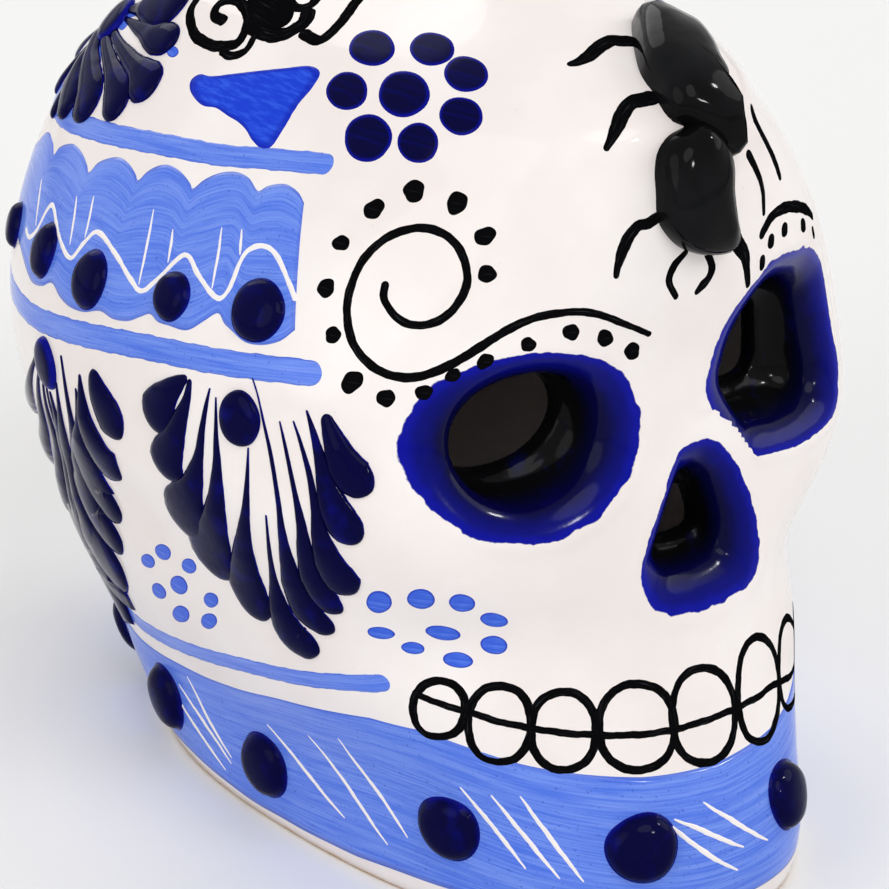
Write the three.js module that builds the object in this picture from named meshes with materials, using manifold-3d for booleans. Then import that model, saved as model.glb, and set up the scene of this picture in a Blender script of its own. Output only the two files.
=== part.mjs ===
// A hand-painted talavera ceramic skull.
// A hollow glazed shell stands on its open foot. It carries an applied beetle on the forehead,
// round clay pellets on the temples and round the foot, and slip petals on its sides.
// Millimetres, +Z up, the face looks along -Y, the origin lies under the middle of the skull.
import * as THREE from "three";
import { mergeVertices } from "three/addons/utils/BufferGeometryUtils.js";
import Module from "manifold-3d";

const wasm = await Module();
wasm.setup();

// Driving sizes of the shell
const skullHeight = 190;
const skullHalfWidth = 79;
const faceReach = 95.5;
const napeReach = 114;
const wallThickness = 6;
const footRimWidth = 8;
const skullRoundness = 2.3;

// Driving sizes of the cheeks: how deep they sink in, and how far the cheekbones stand out
const cheekDepth = 4.2;
const cheekboneRise = 2.6;

// Driving sizes of the hollows in the face. The left eye is wider towards the nose.
const eyeMouthHalfWidth = 20.5;
const leftEyeWiden = 2.2;
const eyeMouthHalfHeight = 18.2;
const eyeHoleHalfWidth = 15;
const eyeHoleHalfHeight = 13;
const eyeHoleLift = 2;
const eyeDepth = 13;
const eyeLipWidth = 3.6;
const noseMouthHalfWidth = 11.8;
const noseMouthHalfHeight = 14.4;
const noseHoleHalfWidth = 5.5;
const noseHoleHalfHeight = 6.5;
const noseHoleLift = -2;
const noseDepth = 9;
const noseLipWidth = 3;
const cupWall = 4;

// Driving sizes of the applied relief
const seatGap = 0.3;
const trimGap = 0.6;
const templeDomeHalfWidth = 5.6;
const templeDomeRise = 4.2;
const footDomeHalfWidth = 7.4;
const footDomeRise = 4.8;
const ovalHalfWidth = 5.2;
const ovalHalfHeight = 5.8;
const ovalRise = 1.6;
const petalHalfWidth = 4.4;
const petalRise = 1.4;
const beetleHeadHalfWidth = 8.8;
const beetleHeadHalfLength = 12.8;
const beetleTailHalfWidth = 11;
const beetleTailHalfLength = 17.5;
const beetleRise = 8;

// How far a cutting body runs past what it cuts
const overrun = 7;

// How finely the surfaces are faceted
const skullFacets = 54;
const stepsPerSection = 2;
const hollowFacets = 28;
const eyeFacets = 24;
const domeFacets = 14;
const lobeFacets = 20;
const sampleCount = 1000;

// Sections of the skull from the foot to the crown, as shares of the skull's height, its half
// width, the reach of the face and the reach of the nape.
const sectionShares = [
  [0, 0.633, 0.984, 0.675],
  [0.063, 0.639, 1, 0.798],
  [0.137, 0.658, 0.963, 0.895],
  [0.237, 0.753, 0.88, 0.974],
  [0.368, 0.873, 0.827, 1],
  [0.5, 1, 0.796, 0.969],
  [0.632, 0.981, 0.775, 0.947],
  [0.763, 0.81, 0.806, 0.895],
  [0.868, 0.614, 0.785, 0.763],
  [0.947, 0.424, 0.681, 0.535],
  [1, 0, 0, 0],
];

// Extra rings between the last two sections, where the crown closes, and the ring of the
// hollow inside that stands nearest the foot
const crownStepShares = [0, 0.5, 0.75, 0.9];
const innerCrownStepShare = 0.6;
const footStepShare = 0.2;

// The hollow of each cheek and the cheekbone over it: bearing in degrees and height share of
// the middle, and the spread in degrees and as a share of the height
const cheekShares = [36, 0.337, 19, 0.062];
const cheekboneShares = [40, 0.495, 14, 0.095];

// Places of the eyes and the nose seen from the front, as shares of the skull's half width and
// height
const eyePlaceShare = [0.448, 0.5895];
const nosePlaceShare = [0.0316, 0.4553];

// Outline of the nose hollow, an upside-down drop, as shares of its half width and half height
const noseOutlineShares = [
  [0, 1],
  [0.42, 0.66],
  [0.78, 0.02],
  [1, -0.6],
  [0.7, -0.94],
  [0, -1],
  [-0.7, -0.94],
  [-1, -0.6],
  [-0.78, 0.02],
  [-0.42, 0.66],
];

// Places of the relief: a bearing round the skull in degrees, 0 at the face and positive
// towards +X, and a share of the skull's height.
const templeDomeShares = [
  [72, 0.71],
  [91, 0.687],
  [110, 0.663],
  [125, 0.65],
  [138, 0.633],
];
const footDomeShares = [
  [9, 0.116],
  [39.5, 0.107],
  [91.5, 0.074],
  [132, 0.066],
  [159, 0.06],
  [180, 0.058],
  [-159, 0.06],
  [-132, 0.066],
  [-91.5, 0.074],
  [-39.5, 0.107],
  [-14, 0.117],
];
const sideOvalShare = [72, 0.6];
const rearOvalShare = [120, 0.54];
const crownOvalShare = [154, 0.845];

// Petals: bearing and height share where the stem starts, the same where the drop ends, and
// the drop's share of the petal half width.
const sidePetalShares = [
  [84.2, 0.618, 91.5, 0.55, 1.05],
  [82.8, 0.61, 87, 0.493, 0.9],
  [78.5, 0.612, 87, 0.412, 0.95],
  [76.3, 0.605, 83, 0.362, 0.9],
  [70.4, 0.562, 75, 0.321, 0.9],
  [67.6, 0.535, 61.5, 0.311, 1],
  [66.8, 0.6, 58.2, 0.343, 0.75],
  [65, 0.606, 56.6, 0.379, 0.75],
  [62.8, 0.61, 54, 0.417, 0.9],
  [60.8, 0.618, 52, 0.485, 1.05],
  [58, 0.622, 50, 0.555, 1.1],
];
const rearPetalShares = [
  [118.1, 0.534, 97.7, 0.505, 0.9],
  [118.5, 0.529, 103.5, 0.426, 0.9],
  [119.2, 0.526, 112, 0.358, 0.9],
  [120, 0.524, 121.5, 0.295, 0.8],
  [120.8, 0.526, 133, 0.24, 0.8],
  [121.5, 0.529, 143, 0.31, 0.9],
  [121.9, 0.534, 148, 0.39, 0.9],
];
const crownPetalShares = [
  [153.2, 0.838, 148, 0.735, 0.5],
  [153, 0.839, 142.3, 0.755, 0.5],
  [152.8, 0.84, 136.7, 0.772, 0.52],
  [152.6, 0.842, 130.4, 0.792, 0.58],
  [152.5, 0.845, 126.8, 0.828, 0.75],
  [152.6, 0.849, 133.2, 0.876, 0.7],
  [152.9, 0.852, 139.8, 0.908, 0.65],
];

// Beetle lobes: bearing and height share of the head's middle, and the turn of the long axes
// from upright towards the skull's left. The tail's middle lies up and to the left of the
// head's by shares of their two half lengths.
const beetleHeadShare = [-1, 0.855];
const beetleJoinShare = [0.2, 0.9];
const beetleHeadTurn = 4;
const beetleTailTurn = -14;

// Stations along a petal, and the shape of its width: the stem's width, where the stem ends
// and where the drop is widest.
const petalStationShares = [0, 0.08, 0.24, 0.4, 0.55, 0.7, 0.84, 0.95, 1];
const petalOffsetShares = [-1, -0.45, 0.45, 1];
const petalAheadShare = 0.05;
const stemWidthShare = 0.14;
const stemEndShare = 0.2;
const bellyShare = 0.84;
const petalCurlShare = 0.12;
const petalDropShare = 0.78;

// Rings of a domed piece: share of its half width and share of its rise
const domeRingShares = [[1, 0], [0.92, 0.48], [0.6, 0.87]];
const flatRingShares = [[1, 0], [0.9, 0.6]];

// Rings of the seat under a domed piece, as shares of its half width
const domeSeatShares = [0.5];
const lobeSeatShares = [0.35, 0.7];

// Lip of a hollow: share of the lip's width past the mouth, and share of it below the surface
const lipShares = [[1.25, -0.12], [0.66, 0.14], [0.22, 0.58], [0, 1.1]];
const bowlShares = [0.35, 0.65, 0.85, 1];

// Clay round a hollow: how far its rings lie below the face and past the hole, as shares of
// the wall and of the cup's wall
const cupTopShare = 0.33;
const cupFlareShare = 1.2;
const cupRingShare = 0.5;

// Nearest that a place on the face comes to the skull's side, as a share of its half width
const faceEdgeShare = 0.985;

const domeShape = { rings: domeRingShares, seat: domeSeatShares, facets: domeFacets };
const ovalShape = { rings: flatRingShares, seat: domeSeatShares, facets: domeFacets };
const lobeShape = { rings: domeRingShares, seat: lobeSeatShares, facets: lobeFacets };

const axisPlace = (faceReach - napeReach) / 2;
const skullCore = new THREE.Vector3(0, axisPlace, skullHeight / 2);

const glaze = { roughness: 0.12, metalness: 0 };
const whiteGlaze = new THREE.MeshStandardMaterial({ color: "#f5efec", ...glaze });
const cobaltGlaze = new THREE.MeshStandardMaterial({ color: "#06063c", ...glaze });
const blackGlaze = new THREE.MeshStandardMaterial({ color: "#080808", ...glaze });

// One section of the skull at a step along the section table: a smooth curve through the
// rows, extended straight below the foot and mirrored over the crown.
function sectionAt(step) {
  const last = sectionShares.length - 1;
  const rowAt = (index) => {
    if (index < 0) return sectionShares[0].map((v, k) => 2 * v - sectionShares[1][k]);
    if (index > last) return sectionShares[last - 1].map((v, k) => (k ? -v : v));
    return sectionShares[index];
  };
  const from = Math.min(Math.floor(step), last - 1);
  const t = step - from;
  const rows = [rowAt(from - 1), rowAt(from), rowAt(from + 1), rowAt(from + 2)];
  const blend = rows[0].map((_, k) => {
    const [a, b, c, d] = rows.map((row) => row[k]);
    return (2 * b + (c - a) * t + (2 * a - 5 * b + 4 * c - d) * t * t
      + (3 * b - a - 3 * c + d) * t ** 3) / 2;
  });
  return {
    height: blend[0] * skullHeight,
    halfWidth: blend[1] * skullHalfWidth,
    face: blend[2] * faceReach,
    nape: blend[3] * napeReach,
  };
}

// The section at a height, read between close samples of the smooth curve.
const sectionSamples = Array.from({ length: sampleCount + 1 }, (_, i) =>
  sectionAt(((sectionShares.length - 1) * i) / sampleCount));

function sectionAtHeight(height) {
  let low = 0;
  let high = sampleCount;
  while (high - low > 1) {
    const middle = Math.floor((low + high) / 2);
    if (sectionSamples[middle].height < height) low = middle;
    else high = middle;
  }
  const [below, above] = [sectionSamples[low], sectionSamples[high]];
  const t = THREE.MathUtils.clamp(
    (height - below.height) / (above.height - below.height), 0, 1);
  return {
    height,
    halfWidth: THREE.MathUtils.lerp(below.halfWidth, above.halfWidth, t),
    face: THREE.MathUtils.lerp(below.face, above.face, t),
    nape: THREE.MathUtils.lerp(below.nape, above.nape, t),
  };
}

// How far the cheeks sink in at a bearing and a height: a smooth bell round each middle. The
// cheekbones swell out the same way.
function cheekInset(bearing, height) {
  const turn = Math.abs(THREE.MathUtils.radToDeg(Math.atan2(Math.sin(bearing), Math.cos(bearing))));
  const bell = ([middleBearing, middleShare, spreadDegrees, spreadShare]) => Math.exp(
    -(((turn - middleBearing) / spreadDegrees) ** 2)
    - ((height / skullHeight - middleShare) / spreadShare) ** 2);
  return cheekDepth * bell(cheekShares) - cheekboneRise * bell(cheekboneShares);
}

// A section is a rounded oval: a superellipse with its own reach to the face and the nape,
// drawn in at the cheeks.
function pointOnSection(section, bearing) {
  const side = Math.sin(bearing);
  const front = Math.cos(bearing);
  const reach = front >= 0 ? section.face : section.nape;
  if (section.halfWidth <= 0) return new THREE.Vector3(0, axisPlace, section.height);
  const size = (Math.abs(side) / section.halfWidth) ** skullRoundness
    + (Math.abs(front) / reach) ** skullRoundness;
  const radius = size ** (-1 / skullRoundness) - cheekInset(bearing, section.height);
  return new THREE.Vector3(radius * side, axisPlace - radius * front, section.height);
}

// True where a point lies inside the outer surface.
function isInsideSkull(point) {
  if (point.z >= skullHeight) return false;
  const section = sectionAtHeight(Math.max(point.z, 0));
  const front = axisPlace - point.y;
  const reach = front >= 0 ? section.face : section.nape;
  const radius = Math.max(Math.hypot(point.x, front), Number.EPSILON);
  const grow = 1 + cheekInset(Math.atan2(point.x, front), point.z) / radius;
  return (Math.abs(point.x * grow) / section.halfWidth) ** skullRoundness
    + (Math.abs(front * grow) / reach) ** skullRoundness < 1;
}

// The point of the outer surface on the ray from the skull's core through a point.
function projectToSkull(point) {
  const ray = point.clone().sub(skullCore);
  let low = 0;
  let high = 2;
  for (let i = 0; i < 30; i += 1) {
    const middle = (low + high) / 2;
    if (isInsideSkull(skullCore.clone().addScaledVector(ray, middle))) low = middle;
    else high = middle;
  }
  return skullCore.clone().addScaledVector(ray, low);
}

// The outward normal, from two short steps along the surface.
function normalAt(point) {
  const out = point.clone().sub(skullCore).normalize();
  const across = new THREE.Vector3(0, 0, 1).cross(out).normalize();
  const along = out.clone().cross(across);
  const step = seatGap;
  const east = projectToSkull(point.clone().addScaledVector(across, step));
  const west = projectToSkull(point.clone().addScaledVector(across, -step));
  const upper = projectToSkull(point.clone().addScaledVector(along, step));
  const lower = projectToSkull(point.clone().addScaledVector(along, -step));
  return east.sub(west).cross(upper.sub(lower)).normalize();
}

function placeOnSkull(bearing, heightShare) {
  const section = sectionAtHeight(heightShare * skullHeight);
  return pointOnSection(section, THREE.MathUtils.degToRad(bearing));
}

// The point of the face at a place seen from the front, found along the line of sight.
function placeOnFace(x, height) {
  const edge = sectionAtHeight(height).halfWidth * faceEdgeShare;
  const across = THREE.MathUtils.clamp(x, -edge, edge);
  let inside = axisPlace;
  let outside = axisPlace - 2 * faceReach;
  for (let i = 0; i < 30; i += 1) {
    const middle = (inside + outside) / 2;
    if (isInsideSkull(new THREE.Vector3(across, middle, height))) inside = middle;
    else outside = middle;
  }
  return new THREE.Vector3(x, inside, height);
}

// A closed body from points and triangles, turned so that its faces point out.
function closedBody(points, faces) {
  let volume = 0;
  faces.forEach(([a, b, c]) => {
    volume += points[a].dot(points[b].clone().cross(points[c]));
  });
  const outward = volume > 0 ? faces : faces.map(([a, b, c]) => [a, c, b]);
  const geometry = new THREE.BufferGeometry();
  geometry.setAttribute("position", new THREE.Float32BufferAttribute(
    points.flatMap((p) => [p.x, p.y, p.z]), 3));
  geometry.setIndex(outward.flat());
  return geometry;
}

// A closed body through rings of equally many points, with a fan of triangles over each end
// to a given tip or to the middle of the end ring.
function bodyFromRings(rings, tips = []) {
  const count = rings[0].length;
  const points = rings.flat();
  const faces = [];
  for (let r = 0; r + 1 < rings.length; r += 1) {
    for (let i = 0; i < count; i += 1) {
      const next = (i + 1) % count;
      const [a, b] = [r * count + i, r * count + next];
      const [c, d] = [a + count, b + count];
      faces.push([a, b, d], [a, d, c]);
    }
  }
  [rings[0], rings[rings.length - 1]].forEach((ring, end) => {
    const first = end ? (rings.length - 1) * count : 0;
    const tip = points.push(tips[end] ?? ring.reduce(
      (sum, p) => sum.addScaledVector(p, 1 / count), new THREE.Vector3())) - 1;
    for (let i = 0; i < count; i += 1) {
      const next = first + ((i + 1) % count);
      faces.push(end ? [first + i, next, tip] : [next, first + i, tip]);
    }
  });
  return closedBody(points, faces);
}

function toSolid(geometry) {
  const welded = mergeVertices(geometry);
  return new wasm.Manifold(new wasm.Mesh({
    numProp: 3,
    vertProperties: new Float32Array(welded.attributes.position.array),
    triVerts: new Uint32Array(welded.index.array),
  }));
}

function toGeometry(solid) {
  const mesh = solid.getMesh();
  const geometry = new THREE.BufferGeometry();
  geometry.setAttribute("position", new THREE.Float32BufferAttribute(mesh.vertProperties, 3));
  geometry.setIndex(Array.from(mesh.triVerts));
  return geometry;
}

function namedPiece(name, geometry, material) {
  const mesh = new THREE.Mesh(geometry, material);
  mesh.name = name;
  return mesh;
}

// Points of a ring round the skull at one step of the section table.
function skullRing(step, facets) {
  const section = sectionAt(step);
  return Array.from({ length: facets }, (_, i) =>
    pointOnSection(section, (2 * Math.PI * i) / facets));
}

function outerSkull() {
  const last = sectionShares.length - 1;
  const count = (last - 1) * stepsPerSection;
  const steps = Array.from({ length: count }, (_, i) => i / stepsPerSection)
    .concat(crownStepShares.map((share) => last - 1 + share));
  const crown = new THREE.Vector3(0, axisPlace, skullHeight);
  return toSolid(bodyFromRings(
    steps.map((step) => skullRing(step, skullFacets)), [undefined, crown]));
}

// The hollow inside: the outer surface moved in by the wall, run out through the foot.
function innerHollow() {
  const last = sectionShares.length - 1;
  const steps = Array.from({ length: last }, (_, i) => Math.max(i, footStepShare))
    .concat(last - 1 + innerCrownStepShare);
  const rings = steps.map((step, i) => skullRing(step, hollowFacets).map((p) =>
    p.clone().addScaledVector(normalAt(p), i ? -wallThickness : -footRimWidth)));
  const mouth = rings[0].map((p) => new THREE.Vector3(p.x, p.y, -overrun));
  const crown = new THREE.Vector3(0, axisPlace, skullHeight - wallThickness);
  return toSolid(bodyFromRings([mouth, ...rings], [undefined, crown]));
}

function eyeOutline(index) {
  const turn = (2 * Math.PI * index) / eyeFacets;
  return [Math.cos(turn), Math.sin(turn)];
}

const noseCurve = new THREE.CatmullRomCurve3(
  noseOutlineShares.map(([across, up]) => new THREE.Vector3(across, up, 0)), true);

function noseOutline(index) {
  const point = noseCurve.getPoint(index / eyeFacets);
  return [point.x, point.y];
}

const hollows = [[-1, 0], [1, leftEyeWiden]].map(([side, widen]) => ({
  outline: eyeOutline,
  x: side * eyePlaceShare[0] * skullHalfWidth - widen,
  height: eyePlaceShare[1] * skullHeight,
  mouth: [eyeMouthHalfWidth + widen, eyeMouthHalfHeight],
  hole: [eyeHoleHalfWidth, eyeHoleHalfHeight],
  holeLift: eyeHoleLift,
  depth: eyeDepth,
  lip: eyeLipWidth,
}));
hollows.push({
  outline: noseOutline,
  x: nosePlaceShare[0] * skullHalfWidth,
  height: nosePlaceShare[1] * skullHeight,
  mouth: [noseMouthHalfWidth, noseMouthHalfHeight],
  hole: [noseHoleHalfWidth, noseHoleHalfHeight],
  holeLift: noseHoleLift,
  depth: noseDepth,
  lip: noseLipWidth,
});

// A ring of a hollow's rounded mouth: its outline grown past the mouth, laid on the face and
// moved in along the surface's normal.
function mouthRing(hollow, growth, inset) {
  return Array.from({ length: eyeFacets }, (_, i) => {
    const [across, up] = hollow.outline(i);
    const point = placeOnFace(
      hollow.x + across * (hollow.mouth[0] + growth),
      hollow.height + up * (hollow.mouth[1] + growth));
    return point.addScaledVector(normalAt(point), -inset);
  });
}

// A ring of the hole at the bottom of a hollow, tilted half as much as the face is there.
function holeRing(hollow, growth, inset) {
  const middle = placeOnFace(hollow.x, hollow.height);
  const outer = placeOnFace(hollow.x + Math.sign(hollow.x) * hollow.mouth[0], hollow.height);
  const tilt = ((outer.y - middle.y) / hollow.mouth[0]) * Math.sign(hollow.x) / 2;
  return Array.from({ length: eyeFacets }, (_, i) => {
    const [across, up] = hollow.outline(i);
    const x = hollow.x + across * (hollow.hole[0] + growth);
    const y = middle.y + hollow.depth + inset + tilt * (x - hollow.x);
    const z = hollow.height + hollow.holeLift + up * (hollow.hole[1] + growth);
    return new THREE.Vector3(x, y, z);
  });
}

// The space cut out of a hollow: a flared lip, a bowl and a hole through into the skull.
function hollowSpace(hollow) {
  const outside = mouthRing(hollow, hollow.lip * lipShares[0][0], -overrun);
  const lips = lipShares.map(([growth, inset]) =>
    mouthRing(hollow, hollow.lip * growth, hollow.lip * inset));
  const rim = lips[lips.length - 1];
  const hole = holeRing(hollow, 0, 0);
  const bowl = bowlShares.map((share) => rim.map((p, i) => {
    const turn = (share * Math.PI) / 2;
    const inwards = 1 - Math.cos(turn);
    return new THREE.Vector3(
      THREE.MathUtils.lerp(p.x, hole[i].x, inwards),
      THREE.MathUtils.lerp(p.y, hole[i].y, Math.sin(turn)),
      THREE.MathUtils.lerp(p.z, hole[i].z, inwards));
  }));
  const beyond = holeRing(hollow, 0, overrun + cupWall);
  return toSolid(bodyFromRings([outside, ...lips, ...bowl, beyond]));
}

// The clay round a hollow: the same shape one wall larger, rooted inside the shell's wall.
function hollowCup(hollow) {
  const grown = hollow.lip + cupWall;
  return toSolid(bodyFromRings([
    mouthRing(hollow, grown, wallThickness * cupTopShare),
    mouthRing(hollow, grown, wallThickness),
    holeRing(hollow, cupWall * cupFlareShare, cupWall * cupRingShare),
    holeRing(hollow, cupWall, cupWall),
  ]));
}

function skullShell() {
  const outer = outerSkull();
  let shell = outer.subtract(innerHollow());
  hollows.forEach((hollow) => {
    shell = shell.add(hollowCup(hollow).intersect(outer));
  });
  hollows.forEach((hollow) => {
    shell = shell.subtract(hollowSpace(hollow));
  });
  return namedPiece("skull_shell", toGeometry(shell), whiteGlaze);
}

// The directions across and up in the surface's plane at a point.
function plainAxes(point) {
  const out = normalAt(point);
  const across = new THREE.Vector3(0, 0, 1).cross(out).normalize();
  return [across, out.clone().cross(across)];
}

// A domed piece seated on the skull: rings round its middle, laid on the surface. They run
// from the middle of its seat out to its edge, and over the raised top. A skirt lowers its
// seat.
function domedPiece(shape) {
  const { halfWidth, halfHeight, rise, rings, seat, facets } = shape;
  const { turn = 0, sink = 0, skirt = 0 } = shape;
  const middle = shape.middle ?? placeOnSkull(...shape.place);
  const [across, up] = plainAxes(middle);
  const lean = THREE.MathUtils.degToRad(turn);
  const pointAt = (share, liftShare, index) => {
    const angle = (2 * Math.PI * index) / facets;
    const [sideways, upwards] = [halfWidth * Math.cos(angle), halfHeight * Math.sin(angle)];
    const flat = middle.clone()
      .addScaledVector(across, share * (sideways * Math.cos(lean) - upwards * Math.sin(lean)))
      .addScaledVector(up, share * (sideways * Math.sin(lean) + upwards * Math.cos(lean)));
    const base = projectToSkull(flat);
    return base.addScaledVector(normalAt(base), seatGap - sink + rise * liftShare);
  };
  const under = -skirt / rise;
  const allRings = seat.map((share) => [share, under])
    .concat(skirt ? [[1, under]] : [], rings);
  return bodyFromRings(
    allRings.map(([share, liftShare]) =>
      Array.from({ length: facets }, (_, i) => pointAt(share, liftShare, i))),
    [pointAt(0, under, 0), pointAt(0, 1, 0)]);
}

// Width of a petal along its length: a thin stem that swells into a round drop.
function petalWidthShare(along) {
  const swell = THREE.MathUtils.smoothstep(along, stemEndShare, bellyShare);
  const past = Math.max(0, (along - bellyShare) / (1 - bellyShare));
  return (stemWidthShare + (1 - stemWidthShare) * swell) * Math.sqrt(Math.max(0, 1 - past ** 2));
}

// A petal of slip: a strip along a curve that starts straight down and curls to its drop. It
// can be grown all round, to trim a neighbour with a gap.
function petalPiece([startBearing, startShare, endBearing, endShare, widthShare], side, grow = 0) {
  const bend = [
    THREE.MathUtils.lerp(startBearing, endBearing, petalCurlShare),
    THREE.MathUtils.lerp(startShare, endShare, petalDropShare),
  ];
  const curve = new THREE.QuadraticBezierCurve(
    new THREE.Vector2(startBearing, startShare),
    new THREE.Vector2(...bend),
    new THREE.Vector2(endBearing, endShare));
  const pathPoint = (along) => {
    const at = curve.getPoint(along);
    return placeOnSkull(side * at.x, at.y);
  };
  const points = [];
  const rows = petalStationShares.map((along) => {
    const middle = pathPoint(along);
    const out = normalAt(middle);
    const width = petalHalfWidth * widthShare * petalWidthShare(along) + grow;
    const ahead = pathPoint(Math.min(along + petalAheadShare, 1))
      .sub(pathPoint(Math.max(along - petalAheadShare, 0)));
    const across = out.clone().cross(ahead).normalize();
    const riseShare = stemWidthShare + (1 - stemWidthShare) * petalWidthShare(along);
    const rise = petalRise * riseShare + 2 * grow;
    const offsets = along === 0 || along === 1 ? [0] : petalOffsetShares;
    return offsets.map((offset) => {
      const seat = projectToSkull(middle.clone().addScaledVector(across, offset * width));
      const lift = Math.abs(offset) === 1 || offset === 0 ? 0 : rise;
      return points.push(seat.addScaledVector(out, seatGap - grow + lift)) - 1;
    });
  });
  const faces = [];
  rows.slice(1, -2).forEach((row, r) => {
    const next = rows[r + 2];
    for (let i = 0; i < 3; i += 1) {
      faces.push([row[i], row[i + 1], next[i + 1]], [row[i], next[i + 1], next[i]]);
    }
    faces.push([row[3], row[0], next[0]], [row[3], next[0], next[3]]);
  });
  [[rows[0][0], rows[1], false], [rows[rows.length - 1][0], rows[rows.length - 2], true]]
    .forEach(([tip, row, isEnd]) => {
      for (let i = 0; i < 4; i += 1) {
        const [a, b] = [row[i], row[(i + 1) % 4]];
        faces.push(isEnd ? [a, b, tip] : [b, a, tip]);
      }
    });
  return closedBody(points, faces);
}

function ovalPiece([bearing, heightShare], side) {
  return domedPiece({
    place: [side * bearing, heightShare],
    halfWidth: ovalHalfWidth,
    halfHeight: ovalHalfHeight,
    rise: ovalRise,
    ...ovalShape,
  });
}

// Petals whose stems start under one oval, joined with it.
function fanPiece(ovalShare, petalShares, side) {
  return toGeometry(petalShares.reduce(
    (fan, shares) => fan.add(toSolid(petalPiece(shares, side))),
    toSolid(ovalPiece(ovalShare, side))));
}

const skull = new THREE.Group();
skull.add(skullShell());

// The tail lobe is pressed against the head lobe, so it is cut by the head lobe grown a gap
// and run down into the skull.
function beetleHead(grow, skirt) {
  return domedPiece({
    ...lobeShape,
    skirt,
    place: beetleHeadShare,
    halfWidth: beetleHeadHalfWidth + grow,
    halfHeight: beetleHeadHalfLength + grow,
    rise: beetleRise + 2 * grow,
    sink: grow,
    turn: beetleHeadTurn,
  });
}

const headMiddle = placeOnSkull(...beetleHeadShare);
const [headAcross, headUp] = plainAxes(headMiddle);
const beetleLength = beetleHeadHalfLength + beetleTailHalfLength;
const beetleTail = domedPiece({
  ...lobeShape,
  middle: projectToSkull(headMiddle.clone()
    .addScaledVector(headAcross, beetleJoinShare[0] * beetleLength)
    .addScaledVector(headUp, beetleJoinShare[1] * beetleLength)),
  halfWidth: beetleTailHalfWidth,
  halfHeight: beetleTailHalfLength,
  rise: beetleRise,
  turn: beetleTailTurn,
});
skull.add(namedPiece("beetle_head", beetleHead(0, 0), blackGlaze));
skull.add(namedPiece("beetle_tail",
  toGeometry(toSolid(beetleTail).subtract(toSolid(beetleHead(seatGap, overrun)))), blackGlaze));

[["right", -1], ["left", 1]].forEach(([sideName, side]) => {
  templeDomeShares.forEach(([bearing, heightShare], i) => {
    skull.add(namedPiece(`temple_dome_${sideName}_${i + 1}`, domedPiece({
      place: [side * bearing, heightShare],
      halfWidth: templeDomeHalfWidth,
      halfHeight: templeDomeHalfWidth,
      rise: templeDomeRise,
      ...domeShape,
    }), cobaltGlaze));
  });
  skull.add(namedPiece(`side_oval_${sideName}`, ovalPiece(sideOvalShare, side), cobaltGlaze));
  sidePetalShares.forEach((shares, i) => {
    const petal = toSolid(petalPiece(shares, side));
    const before = sidePetalShares.slice(0, i);
    const trimmed = before.reduce(
      (rest, other) => rest.subtract(toSolid(petalPiece(other, side, trimGap))), petal);
    skull.add(namedPiece(`side_petal_${sideName}_${i + 1}`, toGeometry(trimmed), cobaltGlaze));
  });
  skull.add(namedPiece(`rear_fan_${sideName}`,
    fanPiece(rearOvalShare, rearPetalShares, side), cobaltGlaze));
  skull.add(namedPiece(`crown_fan_${sideName}`,
    fanPiece(crownOvalShare, crownPetalShares, side), cobaltGlaze));
});

footDomeShares.forEach((place, i) => {
  skull.add(namedPiece(`foot_dome_${i + 1}`, domedPiece({
    place,
    halfWidth: footDomeHalfWidth,
    halfHeight: footDomeHalfWidth,
    rise: footDomeRise,
    ...domeShape,
  }), cobaltGlaze));
});

export default skull;
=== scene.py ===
"""A hand-painted talavera ceramic skull: its glaze, its relief and its brushwork.

The file is laid out as an add-on. Every new piece is a surface of two parameters, worked out
with numpy in millimetres in the skull's own frame, and laid on the skull's outer surface.
"""
import math

import bpy
import numpy as np
from mathutils import Matrix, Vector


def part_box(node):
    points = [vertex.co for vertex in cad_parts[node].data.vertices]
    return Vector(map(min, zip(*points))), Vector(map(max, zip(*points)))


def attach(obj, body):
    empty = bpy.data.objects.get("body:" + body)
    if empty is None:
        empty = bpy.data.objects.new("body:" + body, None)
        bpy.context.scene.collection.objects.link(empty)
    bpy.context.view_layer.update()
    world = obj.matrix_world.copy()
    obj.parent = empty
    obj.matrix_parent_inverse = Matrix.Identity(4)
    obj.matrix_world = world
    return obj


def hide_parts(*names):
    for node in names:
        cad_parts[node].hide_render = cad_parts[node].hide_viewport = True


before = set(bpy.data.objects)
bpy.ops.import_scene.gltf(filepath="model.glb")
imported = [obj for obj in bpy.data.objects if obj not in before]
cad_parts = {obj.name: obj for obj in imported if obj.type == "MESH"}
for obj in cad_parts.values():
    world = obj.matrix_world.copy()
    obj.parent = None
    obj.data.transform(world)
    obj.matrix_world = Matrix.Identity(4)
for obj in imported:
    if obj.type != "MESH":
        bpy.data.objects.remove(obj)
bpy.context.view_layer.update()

bl_info = {
    "name": "Talavera Skull",
    "version": (1, 0, 0),
    "blender": (4, 5, 0),
    "location": "View3D > Sidebar > Skull",
    "description": "Builds the glazed, painted surfaces of a talavera ceramic skull",
    "category": "Add Mesh",
}

MM = 0.001
SHELL_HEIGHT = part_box("skull_shell")[1][2]

# Sections of the skull from the foot to the crown, as shares of the skull's height, its half
# width, the reach of the face and the reach of the nape
SECTION_SHARES = np.array([
    [0, 0.633, 0.984, 0.675],
    [0.063, 0.639, 1, 0.798],
    [0.137, 0.658, 0.963, 0.895],
    [0.237, 0.753, 0.88, 0.974],
    [0.368, 0.873, 0.827, 1],
    [0.5, 1, 0.796, 0.969],
    [0.632, 0.981, 0.775, 0.947],
    [0.763, 0.81, 0.806, 0.895],
    [0.868, 0.614, 0.785, 0.763],
    [0.947, 0.424, 0.681, 0.535],
    [1, 0, 0, 0],
])
ROUNDNESS = 2.3

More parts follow.
